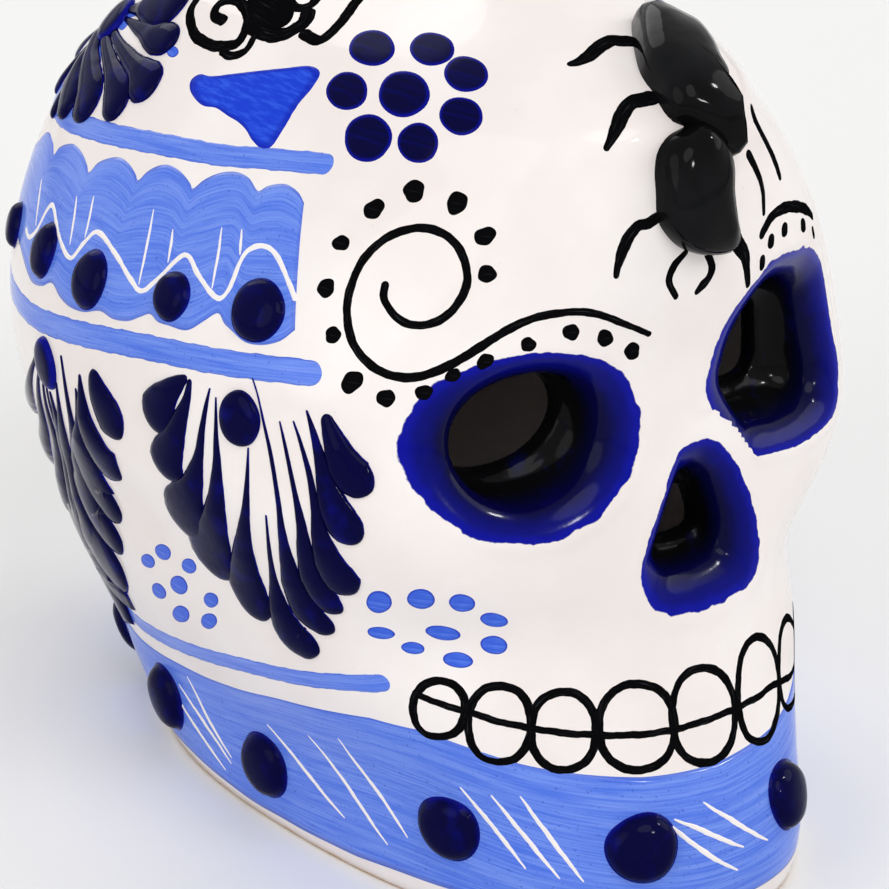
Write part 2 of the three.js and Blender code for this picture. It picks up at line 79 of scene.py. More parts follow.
# The hollow of each cheek and the cheekbone over it: depth in millimetres, bearing in degrees
# and height share of the middle, and the spread in degrees and as a share of the height
CHEEKS = [(4.2, 36, 0.337, 19, 0.062), (-2.6, 40, 0.495, 14, 0.095)]
SECTION_SAMPLES = 2001
SEAT_STEPS = 26
NORMAL_STEP = 0.3
FACE_EDGE = 0.985
MIRROR = np.array([-1.0, 1.0, 1.0])

# The photograph's camera: degrees, millimetres and pixels of its square frame
CAMERA_BEARING = -39.19
CAMERA_RISE = 24.5
CAMERA_ROLL = 0.47
CAMERA_DISTANCE = 1300.0
FOCAL_PIXELS = 6050.4
PHOTO_PIXELS = 889
CORE_PIXEL = (454.6, 365.4)
SENSOR_WIDTH = 36.0


# Sizes and colours


def length_property(name, millimetres, description):
    """A length in metres with its default written in millimetres."""
    return bpy.props.FloatProperty(
        name=name, description=description, default=millimetres * MM, unit="LENGTH",
        precision=4)


def colour_property(name, colour, description):
    """A linear colour."""
    return bpy.props.FloatVectorProperty(
        name=name, description=description, default=colour, size=3, subtype="COLOR",
        min=0.0, max=1.0)


class SkullSizes(bpy.types.PropertyGroup):
    """Real sizes of the skull and its relief."""
    skull_height: bpy.props.FloatProperty(
        name="Skull height", description="From the foot to the crown",
        default=SHELL_HEIGHT, unit="LENGTH")
    half_width: length_property("Half width", 79, "Half of the skull's width at the temples")
    face_reach: length_property("Face reach", 95.5, "From the axis forward to the chin")
    nape_reach: length_property("Nape reach", 114, "From the axis back to the nape")
    wall: length_property("Wall", 5, "Thickness of the cast wall")
    socket_wall: length_property("Socket wall", 2.4, "Thickness of the clay round a hollow")
    temple_dome: length_property("Temple pellet", 5.6, "Half width of a temple pellet")
    temple_rise: length_property("Temple pellet rise", 2.3, "How far a temple pellet stands out")
    foot_dome: length_property("Foot pellet", 7.4, "Half width of a foot pellet")
    foot_rise: length_property("Foot pellet rise", 3.4, "How far a foot pellet stands out")
    oval_half_width: length_property("Oval half width", 5.2, "Half width of a flat oval")
    oval_half_height: length_property("Oval half height", 5.8, "Half height of a flat oval")
    oval_rise: length_property("Oval rise", 1.6, "How far a flat oval stands out")
    petal_half_width: length_property("Petal half width", 4.4, "Half width of a full drop")
    petal_rise: length_property("Petal rise", 1.5, "How far a slip petal stands out")
    beetle_rise: length_property("Beetle rise", 8, "How far the beetle's lobes stand out")
    paint_rise: length_property("Paint rise", 0.1, "Thickness of a painted stroke")
    wash_rise: length_property("Wash rise", 0.05, "Thickness of a painted wash")


class SkullColours(bpy.types.PropertyGroup):
    """Colours of the glazes."""
    white: colour_property("White glaze", (0.88, 0.835, 0.82), "Tin-white glaze")
    warm: colour_property("Warm white", (0.83, 0.765, 0.74), "White glaze where it lies thin")
    cobalt: colour_property("Cobalt", (0.0016, 0.0016, 0.036), "Thick cobalt glaze")
    bright: colour_property("Bright cobalt", (0.004, 0.007, 0.36), "Cobalt where it lies thin")
    wash: colour_property("Blue wash", (0.068, 0.165, 0.74), "Thin blue wash")
    pale: colour_property("Pale wash", (0.17, 0.29, 0.82), "Blue wash between brush hairs")
    # Black glaze of the beetle and the lines; the shell also uses it as painted shade deep in
    # the bowls
    ink: colour_property("Black", (0.003, 0.003, 0.0035), "Black glaze")
    smoke: colour_property("Thin black", (0.07, 0.075, 0.085), "Black where the brush runs dry")
    clay: colour_property("Bare clay", (0.56, 0.36, 0.22), "Unglazed clay under the foot")


# The skull's surface


class SkullSurface:
    """The outer surface in millimetres.

    A section at a height is a superellipse with its own reach to the face and to the nape.
    Its sizes follow a Catmull-Rom curve through the section table, extended straight below
    the foot and mirrored over the crown. The cheeks are drawn in, and the cheekbones stand
    out, by a bell round each middle: its depth times exp(-(turn/spread)^2-(rise/spread)^2).
    """

    def __init__(self, sizes):
        self.scale = np.array([
            sizes.skull_height, sizes.half_width, sizes.face_reach, sizes.nape_reach]) / MM
        self.height = self.scale[0]
        self.axis_y = (self.scale[2] - self.scale[3]) / 2
        self.core = np.array([0.0, self.axis_y, self.height / 2])
        last = len(SECTION_SHARES) - 1
        self.steps = np.linspace(0, last, SECTION_SAMPLES)
        self.samples = self.section(self.steps)
        self.hollows = skull_hollows(self)

    def section(self, steps):
        """Height, half width, face and nape reach at steps along the section table."""
        rows = SECTION_SHARES * self.scale
        over = rows[-2] * np.array([1, -1, -1, -1])
        rows = np.vstack([2 * rows[0] - rows[1], rows, over])
        first = np.clip(np.floor(steps).astype(int), 0, len(SECTION_SHARES) - 2)
        t = (steps - first)[..., None]
        a, b, c, d = (rows[first + i] for i in range(4))
        return (2 * b + (c - a) * t + (2 * a - 5 * b + 4 * c - d) * t**2
                + (3 * b - a - 3 * c + d) * t**3) / 2

    def at_height(self, height):
        """Half width, face and nape reach at heights."""
        return [np.interp(height, self.samples[:, 0], self.samples[:, k]) for k in (1, 2, 3)]

    def inset(self, bearing, height):
        """How far the cheeks sink in at bearings in radians and heights."""
        turn = np.degrees(np.abs(np.arctan2(np.sin(bearing), np.cos(bearing))))
        return sum(
            depth * np.exp(-((turn - middle) / spread) ** 2
                           - ((height / self.height - rise) / reach) ** 2)
            for depth, middle, rise, spread, reach in CHEEKS)

    def bearing_of(self, points):
        """Bearings in degrees and heights of points."""
        turn = np.arctan2(points[..., 0], self.axis_y - points[..., 1])
        return np.stack([np.degrees(turn), points[..., 2]], -1)

    def place(self, bearing, height):
        """Points at bearings in degrees, 0 at the face and positive to the skull's left."""
        bearing, height = np.broadcast_arrays(
            np.radians(np.asarray(bearing, float)), np.asarray(height, float))
        half_width, face, nape = self.at_height(height)
        side, front = np.sin(bearing), np.cos(bearing)
        reach = np.where(front >= 0, face, nape)
        size = (np.abs(side) / np.maximum(half_width, MM)) ** ROUNDNESS \
            + (np.abs(front) / np.maximum(reach, MM)) ** ROUNDNESS
        radius = size ** (-1 / ROUNDNESS) - self.inset(bearing, height)
        return np.stack([radius * side, self.axis_y - radius * front, height], -1)

    def level(self, points):
        """Below 1 inside the outer surface, above 1 outside."""
        x, y, z = np.moveaxis(points, -1, 0)
        half_width, face, nape = self.at_height(np.clip(z, 0, self.height))
        front = self.axis_y - y
        reach = np.where(front >= 0, face, nape)
        radius = np.maximum(np.hypot(x, front), MM)
        grow = 1 + self.inset(np.arctan2(x, front), z) / radius
        size = (np.abs(x * grow) / np.maximum(half_width, MM)) ** ROUNDNESS \
            + (np.abs(front * grow) / np.maximum(reach, MM)) ** ROUNDNESS
        return np.where(z >= self.height, 2.0, size)

    def seat(self, points):
        """Points moved to the surface along their rays from the skull's core."""
        ray = points - self.core
        low = np.zeros(points.shape[:-1])
        high = np.full(points.shape[:-1], 2.0)
        for _ in range(SEAT_STEPS):
            middle = (low + high) / 2
            inside = self.level(self.core + ray * middle[..., None]) < 1
            low = np.where(inside, middle, low)
            high = np.where(inside, high, middle)
        return self.core + ray * low[..., None]

    def frame_at(self, points):
        """Across, up and outward directions of the surface at points on it."""
        out = unit(points - self.core)
        across = unit(np.cross([0.0, 0.0, 1.0], out) + 1e-9)
        along = np.cross(out, across)
        near = np.stack([across, -across, along, -along]) * NORMAL_STEP + points
        east, west, upper, lower = self.seat(near)
        out = unit(np.cross(east - west, upper - lower))
        across = unit(np.cross([0.0, 0.0, 1.0], out) + 1e-9)
        return across, np.cross(out, across), out

    def depth_at(self, x, z):
        """How far back the face lies at places seen from the front."""
        edge = self.at_height(z)[0] * FACE_EDGE
        x = np.clip(x, -edge, edge)
        inside, outside = np.full(x.shape, self.axis_y), np.full(x.shape, -2.0 * self.height)
        for _ in range(SEAT_STEPS):
            middle = (inside + outside) / 2
            hit = self.level(np.stack([x, middle, z], -1)) < 1
            inside, outside = np.where(hit, middle, inside), np.where(hit, outside, middle)
        return inside

    def on_face(self, x, z):
        """Points of the face at places seen from the front, with their outward normals."""
        h = NORMAL_STEP
        slope_x = (self.depth_at(x + h, z) - self.depth_at(x - h, z)) / (2 * h)
        slope_z = (self.depth_at(x, z + h) - self.depth_at(x, z - h)) / (2 * h)
        normal = unit(np.stack([slope_x, -np.ones_like(slope_x), slope_z], -1))
        return np.stack([x, self.depth_at(x, z), z], -1), normal

    def from_photo(self, pixels):
        """Points of the surface seen at pixels: the first crossing of each pixel's ray."""
        eye, right, up, back = camera_frame(self)
        pixels = np.asarray(pixels, float)
        offset = (pixels - PHOTO_PIXELS / 2) / FOCAL_PIXELS
        rays = offset[:, :1] * right - offset[:, 1:] * up - back
        reach = np.linspace(-self.height, self.height, 401) + CAMERA_DISTANCE
        points = eye + rays[:, None] * reach[:, None]
        levels = self.level(points)
        inside = levels < 1
        first = np.where(inside.any(1), inside.argmax(1), levels.argmin(1))
        low, high = reach[first - 1], reach[first]
        for _ in range(SEAT_STEPS):
            middle = (low + high) / 2
            hit = self.level(eye + rays * middle[:, None]) < 1
            low, high = np.where(hit, low, middle), np.where(hit, middle, high)
        return self.seat(eye + rays * high[:, None])


def unit(vectors):
    """Vectors scaled to length 1."""
    return vectors / np.linalg.norm(vectors, axis=-1, keepdims=True)


def camera_frame(skull):
    """The camera's place and its right, up and back directions in the skull's frame."""
    bearing, rise, roll = np.radians([CAMERA_BEARING, CAMERA_RISE, CAMERA_ROLL])
    back = np.array([
        np.sin(bearing) * np.cos(rise), -np.cos(bearing) * np.cos(rise), np.sin(rise)])
    level = np.array([np.cos(bearing), np.sin(bearing), 0.0])
    upright = np.cross(back, level)
    right = np.cos(roll) * level + np.sin(roll) * upright
    up = np.cross(back, right)
    eye = skull.core + back * CAMERA_DISTANCE
    aim = (np.array(CORE_PIXEL) - PHOTO_PIXELS / 2) / FOCAL_PIXELS
    back = unit(back + right * aim[0] - up * aim[1])
    right = unit(right - back * (right @ back))
    return eye, right, np.cross(back, right), back


# Curves and meshes


def smooth_path(points, spacing=0.7, closed=False):
    """A Catmull-Rom curve through the points, cut into even steps of about the spacing."""
    points = np.asarray(points, float)
    if closed:
        ends = np.vstack([points[-1:], points, points[:2]])
    else:
        ends = np.vstack([2 * points[0] - points[1], points, 2 * points[-1] - points[-2]])
    t = np.linspace(0, 1, 16, endpoint=False)[None, :, None]
    a, b, c, d = ends[:-3, None], ends[1:-2, None], ends[2:-1, None], ends[3:, None]
    dense = ((2 * b + (c - a) * t + (2 * a - 5 * b + 4 * c - d) * t**2
              + (3 * b - a - 3 * c + d) * t**3) / 2).reshape(-1, points.shape[1])
    dense = np.vstack([dense, points[:1] if closed else points[-1:]])
    run = np.concatenate([[0], np.cumsum(np.linalg.norm(np.diff(dense, axis=0), axis=1))])
    count = max(int(run[-1] / spacing) + 1, 6)
    even = np.linspace(0, run[-1], count)
    return np.stack([np.interp(even, run, dense[:, k]) for k in range(points.shape[1])], -1)


def ripple(share, seed, waves=(3, 7, 13), heights=(0.5, 0.3, 0.2)):
    """A smooth unsteady curve between about -1 and 1: a sum of sines with seeded phases."""
    phases = np.random.default_rng(seed).uniform(0, 2 * np.pi, len(waves))
    return sum(h * np.sin(2 * np.pi * w * share + p)
               for w, h, p in zip(waves, heights, phases))


class Clay:
    """Meshes collected into one piece: points, quads or triangles, a UV place and a tint."""

    def __init__(self):
        self.points, self.faces, self.places, self.tints = [], [], [], []
        self.count = 0

    def add(self, points, faces, places=None, tints=None, mirrored=False):
        """Adds a closed mesh, and its mirror image over the skull's middle if asked."""
        points = np.asarray(points, float).reshape(-1, 3)
        places = np.zeros((len(points), 2)) if places is None else places.reshape(-1, 2)
        tints = np.zeros(len(points)) if tints is None else np.asarray(tints, float).ravel()
        for flip in ((False, True) if mirrored else (False,)):
            self.points.append(points * MIRROR if flip else points)
            for face in faces:
                turned = face[:, ::-1] if flip else face
                self.faces.extend((turned + self.count).tolist())
            self.places.append(places)
            self.tints.append(tints)
            self.count += len(points)

    def piece(self, name, material, slot, replaced=()):
        """The collected meshes as one smooth object that rides on the skull."""
        mesh = bpy.data.meshes.new(name)
        points = np.vstack(self.points) * MM
        mesh.from_pydata(points.tolist(), [], self.faces)
        mesh.update()
        mesh.polygons.foreach_set("use_smooth", np.ones(len(mesh.polygons), bool))
        corners = np.zeros(len(mesh.loops), np.int32)
        mesh.loops.foreach_get("vertex_index", corners)
        layer = mesh.uv_layers.new(name="stroke")
        layer.data.foreach_set("uv", np.vstack(self.places)[corners].ravel())
        tint = mesh.attributes.new("tint", "FLOAT", "POINT")
        tint.data.foreach_set("value", np.concatenate(self.tints))
        mesh.materials.append(material)
        obj = bpy.data.objects.new(name, mesh)
        bpy.context.scene.collection.objects.link(obj)
        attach(obj, "root")
        if replaced:
            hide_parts(*replaced)
        return obj


def tube_faces(stations, around):
    """Quads of a tube of rings that run along the first index, and the fans at its ends."""
    i = np.arange(stations - 1)[:, None] * around
    j = np.arange(around)[None]
    k = (j + 1) % around
    quads = np.stack([i + j, i + k, i + around + k, i + around + j], -1).reshape(-1, 4)
    last = (stations - 1) * around
    tips = stations * around
    j, k = np.arange(around), (np.arange(around) + 1) % around
    start = np.stack([np.full(around, tips), k, j], -1)
    end = np.stack([np.full(around, tips + 1), last + j, last + k], -1)
    return [quads, start, end]


def swell(skull, points):
    """How far the clay stands out at points round the hollows' lips."""
    out = np.zeros(points.shape[:-1])
    for place in skull.hollows:
        _, share = place.polar(points[..., 0], points[..., 2])
        near = np.interp((share - 1) * place.scale, LIP_ROWS[::-1, 0], -LIP_ROWS[::-1, 1])
        out = np.where((points[..., 1] < skull.axis_y) & (share > 1), out + near, out)
    return np.maximum(out, 0)


def stroke(skull, path, half_width, rise, sink=0.25, seed=0, wobble=0.05, around=7,
           rises=None, full=0.01):
    """A brush stroke or slip trail laid along a path on the skull.

    Its section is half an ellipse: the half width across and the rise outwards, closed by a
    flat bed that is sunk into the glaze. Its ends are round. Returns points, faces, UV places
    along and across in millimetres, and tints: 1 on the crest, 0 at the edge, and less on the
    crest where the half width is below the full one.
    """
    run = np.concatenate([[0], np.cumsum(np.linalg.norm(np.diff(path, axis=0), axis=1))])
    length = run[-1]
    widths = np.broadcast_to(np.asarray(half_width, float), run.shape)
    first, final = min(widths[0], length / 3), min(widths[-1], length / 3)
    cap = 1 - np.cos(np.linspace(0.12, np.pi / 2, 6))
    inner = run[(run > first * 1.05) & (run < length - final * 1.05)]
    at = np.concatenate([first * cap, inner, length - final * cap[::-1]])
    round_end = np.sqrt(np.clip(1 - (1 - np.minimum(at / first, 1)) ** 2, 0, 1)) \
        * np.sqrt(np.clip(1 - (1 - np.minimum((length - at) / final, 1)) ** 2, 0, 1))
    width = np.interp(at, run, widths) * round_end
    lift = rise * round_end if rises is None else np.interp(at, run, rises) * round_end
    middle = np.stack([np.interp(at, run, path[:, k]) for k in range(3)], -1)
    middle = skull.seat(middle)
    _, _, out = skull.frame_at(middle)
    ahead = unit(np.gradient(middle, axis=0))
    across = unit(np.cross(ahead, out))
    turn = np.linspace(0, np.pi, around)
    offsets = np.concatenate([np.cos(turn), [-1, 1]])
    heights = np.concatenate([np.sin(turn), [0, 0]])
    beds = np.concatenate([np.zeros(around), [-sink, -sink]])
    share = at / length
    edge = 1 + wobble * np.stack(
        [ripple(share * length / 24, seed + side) for side in (0, 1)], -1)
    grow = np.where(offsets[None] > 0, edge[:, :1], edge[:, 1:])
    reach = offsets[None] * grow * width[:, None]
    points = skull.seat(middle[:, None] + across[:, None] * reach[..., None])
    lifts = heights[None] * lift[:, None] + beds + swell(skull, points)
    points = points + out[:, None] * lifts[..., None]
    tips = middle[[0, -1]] - ahead[[0, -1]] * np.array([[0.05], [-0.05]])
    tips = tips + out[[0, -1]] * (swell(skull, middle[[0, -1]]) - sink / 2)[:, None]
    ring = len(offsets)
    places = np.stack(np.broadcast_arrays(at[:, None], reach), -1).reshape(-1, 2)
    places = np.vstack([places, [[0, 0], [length, 0]]])
    tints = heights * np.clip(width / full, 0, 1)[:, None]
    tints = np.concatenate([tints.ravel(), [0, 0]])
    return (np.vstack([points.reshape(-1, 3), tips]), tube_faces(len(at), ring), places,
            tints)


BLOT_RINGS = np.array([[1, -1], [1, 0], [0.93, 0.62], [0.78, 0.86], [0.5, 0.97]])
DOME_RINGS = np.array([
    [1.12, -0.12], [1.06, 0.015], [1, 0.07], [0.98, 0.22], [0.93, 0.42], [0.84, 0.63],
    [0.7, 0.82], [0.5, 0.93], [0.27, 0.985]])
PEBBLE_RINGS = np.array([
    [1.03, -0.3], [1.01, 0.0], [0.99, 0.3], [0.93, 0.58], [0.8, 0.83], [0.55, 0.96],
    [0.25, 1.0]])


def blot(skull, outline, rise, rings=BLOT_RINGS, sink=0.25):
    """A raised patch inside a closed outline on the skull.

    Its rings shrink the outline towards its middle and lift it outwards by shares of the
    rise; a ring height of -1 is the sunk bed. Tints run from 0 at the edge to 1 in the
    middle.
    """
    outline = skull.seat(np.asarray(outline, float))
    middle = skull.seat(outline.mean(0))
    share = rings[:, 0][:, None, None]
    seats = skull.seat(middle + share * (outline - middle)[None])
    _, _, out = skull.frame_at(seats)
    heights = np.where(rings[:, 1] <= -1, -sink, rings[:, 1] * rise)
    points = seats + out * (heights[:, None] + swell(skull, seats))[..., None]
    _, _, top = skull.frame_at(middle[None])
    under = swell(skull, middle)
    tips = np.stack([middle + top[0] * (under - sink),
                     middle + top[0] * (under + rise * rings[-1, 1])])
    count = len(outline)
    places = np.stack(np.broadcast_arrays(
        (outline - middle) @ np.array([1.0, 0.4, 0.0]) * rings[:, :1],
        (outline - middle)[:, 2] * rings[:, :1]), -1).reshape(-1, 2)
    tints = np.repeat(1 - np.minimum(rings[:, 0], 1.2), count)
    return (np.vstack([points.reshape(-1, 3), tips]), tube_faces(len(rings), count),
            np.vstack([places, [[0, 0], [0, 0]]]), np.concatenate([tints, [0, 1]]))


def outward(skull, parts):
    """The same mesh with its faces turned outwards, judged by its signed volume."""
    points, faces, places, tints = parts
    centre = points.mean(0)
    volume = 0.0
    for face in faces:
        a, b, c = (points[face[:, k]] - centre for k in range(3))
        volume += np.einsum("ij,ij->", a, np.cross(b, c))
        if face.shape[1] == 4:
            d = points[face[:, 3]] - centre
            volume += np.einsum("ij,ij->", a, np.cross(c, d))
    if volume < 0:
        faces = [face[:, ::-1] for face in faces]
    return points, faces, places, tints


def oval(skull, middle, half_width, half_height, turn=0.0, count=40, wobble=0.0, seed=0):
    """An ellipse in the surface's plane at a point, turned in degrees from upright."""
    across, up, _ = (v[0] for v in skull.frame_at(middle[None]))
    angle = np.linspace(0, 2 * np.pi, count, endpoint=False)
    size = 1 + wobble * ripple(angle / (2 * np.pi), seed, (2, 3, 5))
    sideways, upwards = half_width * size * np.cos(angle), half_height * size * np.sin(angle)
    lean = math.radians(turn)
    return middle \
        + np.outer(sideways * math.cos(lean) - upwards * math.sin(lean), across) \
        + np.outer(sideways * math.sin(lean) + upwards * math.cos(lean), up)


def photo_oval(skull, pixel, half_width, half_height, turn=0.0, wobble=0.05, seed=0):
    """The outline on the skull of an ellipse seen in the photograph, in pixels."""
    angle = np.linspace(0, 2 * np.pi, 32, endpoint=False)
    size = 1 + wobble * ripple(angle / (2 * np.pi), seed, (2, 3, 5))
    sideways, upwards = half_width * size * np.cos(angle), half_height * size * np.sin(angle)
    lean = math.radians(turn)
    outline = np.array(pixel) + np.stack([
        sideways * math.cos(lean) - upwards * math.sin(lean),
        sideways * math.sin(lean) + upwards * math.cos(lean)], -1)
    return skull.from_photo(outline)


def raised_outline(skull, rows):
    """The foot of a raised lobe, from rows of a pixel and the height its edge is seen at."""
    _, right, up, _ = camera_frame(skull)
    rows = np.array(rows, float)
    _, _, out = skull.frame_at(skull.from_photo(rows[:, :2]))
    rise = out * rows[:, 2:] * FOCAL_PIXELS / CAMERA_DISTANCE
    shift = np.stack([rise @ right, -(rise @ up)], -1)
    return smooth_path(skull.from_photo(rows[:, :2] - shift), 1.2, closed=True)[:-1]


def photo_trail(skull, rows, spacing=0.6):
    """A path on the skull and its half widths, from rows of a pixel and a half width seen.

    Each half width is half the distance on the skull between the pixels on its two sides.
    """
    rows = smooth_path(rows, spacing * 5)
    ahead = unit(np.gradient(rows[:, :2], axis=0))
    side = np.stack([-ahead[:, 1], ahead[:, 0]], -1) * rows[:, 2:]
    left, right = skull.from_photo(rows[:, :2] + side), skull.from_photo(rows[:, :2] - side)
    return skull.seat((left + right) / 2), np.linalg.norm(left - right, axis=1) / 2


def wash(skull, lower, upper, rise, sink=0.2, spacing=1.3):
    """A painted wash between a lower and an upper edge on the skull.

    Its top is a grid between the two edges, closed at its border by a bed that is sunk into
    the glaze. Tints run from 0 at the border to 1 inside.
    """
    columns = max(len(lower), len(upper))
    share = np.linspace(0, 1, columns)
    lower, upper = (np.stack([
        np.interp(share, np.linspace(0, 1, len(edge)), edge[:, k]) for k in range(3)], -1)
        for edge in (lower, upper))
    rows = max(int(np.linalg.norm(upper - lower, axis=1).max() / spacing), 3)
    rise_shares = np.linspace(0, 1, rows + 1)[:, None, None]
    top = skull.seat(lower + (upper - lower) * rise_shares)
    _, _, out = skull.frame_at(top)
    bed = top - out * sink
    top = top + out * rise
    run = np.concatenate([[0], np.cumsum(np.linalg.norm(np.diff(
        (lower + upper) / 2, axis=0), axis=1))])
    breadth = np.linalg.norm(upper - lower, axis=1)
    share = rise_shares[..., 0]
    places = np.stack(np.broadcast_arrays(run[None], share * breadth.mean()), -1)
    border = np.minimum(share, 1 - share) * breadth
    border = np.minimum(border, np.minimum(run, run[-1] - run)[None])
    tints = np.clip(border / 1.6, 0, 1)
    size = (rows + 1) * columns
    grid = np.arange(size).reshape(rows + 1, columns)
    cells = np.stack([grid[:-1, :-1], grid[:-1, 1:], grid[1:, 1:], grid[1:, :-1]], -1)
    cells = cells.reshape(-1, 4)
    loop = np.concatenate([grid[0, :-1], grid[:-1, -1], grid[-1, :0:-1], grid[:0:-1, 0]])
    after = np.roll(loop, -1)
    wall = np.stack([loop + size, after + size, after, loop], -1)
    faces = [cells, cells[:, ::-1] + size, wall]
    points = np.concatenate([top.reshape(-1, 3), bed.reshape(-1, 3)])
    return points, faces, np.vstack([places.reshape(-1, 2)] * 2), np.tile(tints.ravel(), 2)


# Shader values


class Value:
    """A shader socket with arithmetic: each operation adds one Math node."""

    def __init__(self, graph, socket):
        self.graph, self.socket = graph, socket

    def math(self, operation, *values):
        return self.graph.node(
            "ShaderNodeMath", {"operation": operation}, dict(enumerate(values)))

    def __add__(self, other):
        return self.math("ADD", self, other)

    __radd__ = __add__

    def __sub__(self, other):
        return self.math("SUBTRACT", self, other)

    def __rsub__(self, other):
        return self.math("SUBTRACT", other, self)

    def __mul__(self, other):
        return self.math("MULTIPLY", self, other)

    __rmul__ = __mul__

    def __truediv__(self, other):
        return self.math("DIVIDE", self, other)


class Graph:
    """A new material's node tree, ended by one Principled shader."""

    def __init__(self, name, roughness, coat=0.0, specular=0.5):
        self.material = bpy.data.materials.new(name)
        self.material.use_nodes = True
        self.tree = self.material.node_tree
        self.shader = self.tree.nodes["Principled BSDF"]
        self.shader.inputs["Roughness"].default_value = roughness
        self.shader.inputs["Coat Weight"].default_value = coat
        self.shader.inputs["Coat Roughness"].default_value = 0.03
        self.shader.inputs["Specular IOR Level"].default_value = specular

    def node(self, kind, settings=None, sockets=None, output=0):
        """Adds a node: its settings first, then the values or links of its sockets."""
        node = self.tree.nodes.new(kind)
        for name, setting in (settings or {}).items():
            if name == "stops":
                ramp = node.color_ramp
                while len(ramp.elements) < len(setting):
                    ramp.elements.new(0.5)
                for element, (place, shade) in zip(ramp.elements, setting):
                    element.position = place
                    element.color = (*shade, 1) if hasattr(shade, "__len__") \
                        else (shade, shade, shade, 1)
            else:
                setattr(node, name, setting)
        for name, value in (sockets or {}).items():
            self.set(node.inputs[name], value)
        return Value(self, node.outputs[output])

    def set(self, socket, value):
        """Links a value to a socket, or writes a plain one on it."""
        if isinstance(value, Value):
            self.tree.links.new(value.socket, socket)
        elif socket.type == "RGBA":
            socket.default_value = (*value, 1)
        else:
            socket.default_value = value

    def noise(self, scale, detail=3, vector=None, roughness=0.5):
        """Noise on Object coordinates, or on another vector."""
        sockets = {"Scale": scale, "Detail": detail, "Roughness": roughness}
        sockets["Vector"] = vector or self.node("ShaderNodeTexCoord", output="Object")
        return self.node("ShaderNodeTexNoise", {}, sockets, output="Fac")

    def mix(self, factor, first, second):
        """A mix of two colours."""
        return self.node("ShaderNodeMix", {"data_type": "RGBA"},
                         {0: factor, 6: first, 7: second}, output=2)

    def step(self, value, low, high):
        """0 below one value and 1 above another, smooth between."""
        return self.node("ShaderNodeMapRange", {"interpolation_type": "SMOOTHSTEP"}, {
            "Value": value, "From Min": low, "From Max": high})

    def attribute(self, name):
        return self.node("ShaderNodeAttribute", {"attribute_name": name}, output="Fac")

    def streaks(self, across, along, detail=2):
        """Noise drawn out along a stroke: its UV place in millimetres, scaled per axis."""
        uv = self.node("ShaderNodeUVMap", {"uv_map": "stroke"})
        drawn = self.node("ShaderNodeMapping", {}, {
            "Vector": uv, "Scale": (along, across, 1.0)})
        return self.noise(1.0, detail, drawn, 0.6)

    def finish(self, **sockets):
        """Sets the shader's sockets and gives the material."""
        for name, value in sockets.items():
            self.set(self.shader.inputs[name.replace("_", " ")], value)
        return self.material

    def bump(self, height, strength, distance=0.0004):
        return self.node("ShaderNodeBump", {}, {
            "Strength": strength, "Distance": distance, "Height": height}, output="Normal")


def white_glaze(colours):
    """The shell: tin-white glaze, cobalt in the hollows with painted shade going black deep in
    the bowls towards the holes, and bare clay under the foot.
    """
    graph = Graph("white_glaze", 0.16, coat=0.3, specular=0.06)
    edge = graph.attribute("hollow")
    wander = graph.noise(95, 2) * 2.6 + graph.noise(330, 2) * 1.6 - 2.1
    painted = 1 - graph.step(edge + wander, 3.55, 3.85)
    blotch = graph.noise(240, 3) * 3 - 1.5
    rim = graph.step(edge + blotch, -7, 1) * 0.4 + graph.step(edge + wander, 0.2, 3.2) * 0.4
    deep = graph.noise(95, 4) * 0.5 + graph.noise(260, 3) * 0.35
    thin = graph.step(deep, 0.46, 0.62)
    # Painted shade: deep in each bowl the cobalt is painted black towards the hole, where the
    # recess lies in shade; the bright lip above is thin cobalt
    cobalt = graph.mix(graph.step(edge, -15, -7), colours.ink, colours.cobalt)
    cobalt = graph.mix(thin * 0.12 + rim, cobalt, colours.bright)
    cloud = graph.step(graph.noise(28, 4), 0.35, 0.7)
    white = graph.mix(cloud, colours.warm, colours.white)
    specks = graph.step(graph.noise(1500, 1), 0.78, 0.84)
    white = graph.mix(specks * 0.35, white, colours.clay)
    place = graph.node("ShaderNodeSeparateXYZ", {}, {
        "Vector": graph.node("ShaderNodeTexCoord", output="Object")}, output="Z")
    foot = 1 - graph.step(place + graph.noise(120, 3) * 0.0012, 0.0009, 0.0016)
    painted = painted * (1 - graph.attribute("inside"))
    colour = graph.mix(painted, white, cobalt)
    colour = graph.mix(foot, colour, colours.clay)
    swell = graph.noise(55, 2) * 0.7 + graph.noise(900, 2) * 0.03 + painted * 0.12
    return graph.finish(
        Base_Color=colour, Roughness=0.09 + foot * 0.7 + graph.noise(300, 2) * 0.06,
        Coat_Weight=(1 - foot) * (1 - painted) * 0.3,
        Normal=graph.bump(swell, 0.5, 0.0006))


def relief_glaze(colours, name="cobalt_relief", edge_from=-0.08, edge_to=0.06):
    """Thick cobalt glaze over raised clay: near black, with blue where it runs thin.

    The tint attribute is 0 at a piece's edge and 1 on its crest. The blue edge fades out
    between the two tints given.
    """
    graph = Graph(name, 0.08, specular=0.03)
    crest = graph.attribute("tint")
    thin = graph.step(graph.noise(170, 3), 0.5, 0.78) * 0.2
    edge = 1 - graph.step(crest + graph.noise(600, 2) * 0.1 - 0.05, edge_from, edge_to)
    colour = graph.mix(thin + edge * 0.5, colours.cobalt, colours.bright)
    return graph.finish(
        Base_Color=colour, Roughness=0.05 + graph.noise(400, 2) * 0.06,
        Normal=graph.bump(graph.noise(180, 3), 0.25, 0.0004))


def black_glaze(colours):
    """Glossy black glaze over the beetle."""
    graph = Graph("black_relief", 0.06, specular=0.05)
    cloud = graph.step(graph.noise(60, 3), 0.4, 0.75)
    colour = graph.mix(cloud * 0.06, colours.ink, colours.smoke)
    return graph.finish(
        Base_Color=colour, Roughness=0.05 + graph.noise(300, 2) * 0.07,
        Normal=graph.bump(graph.noise(150, 2), 0.3, 0.0005))


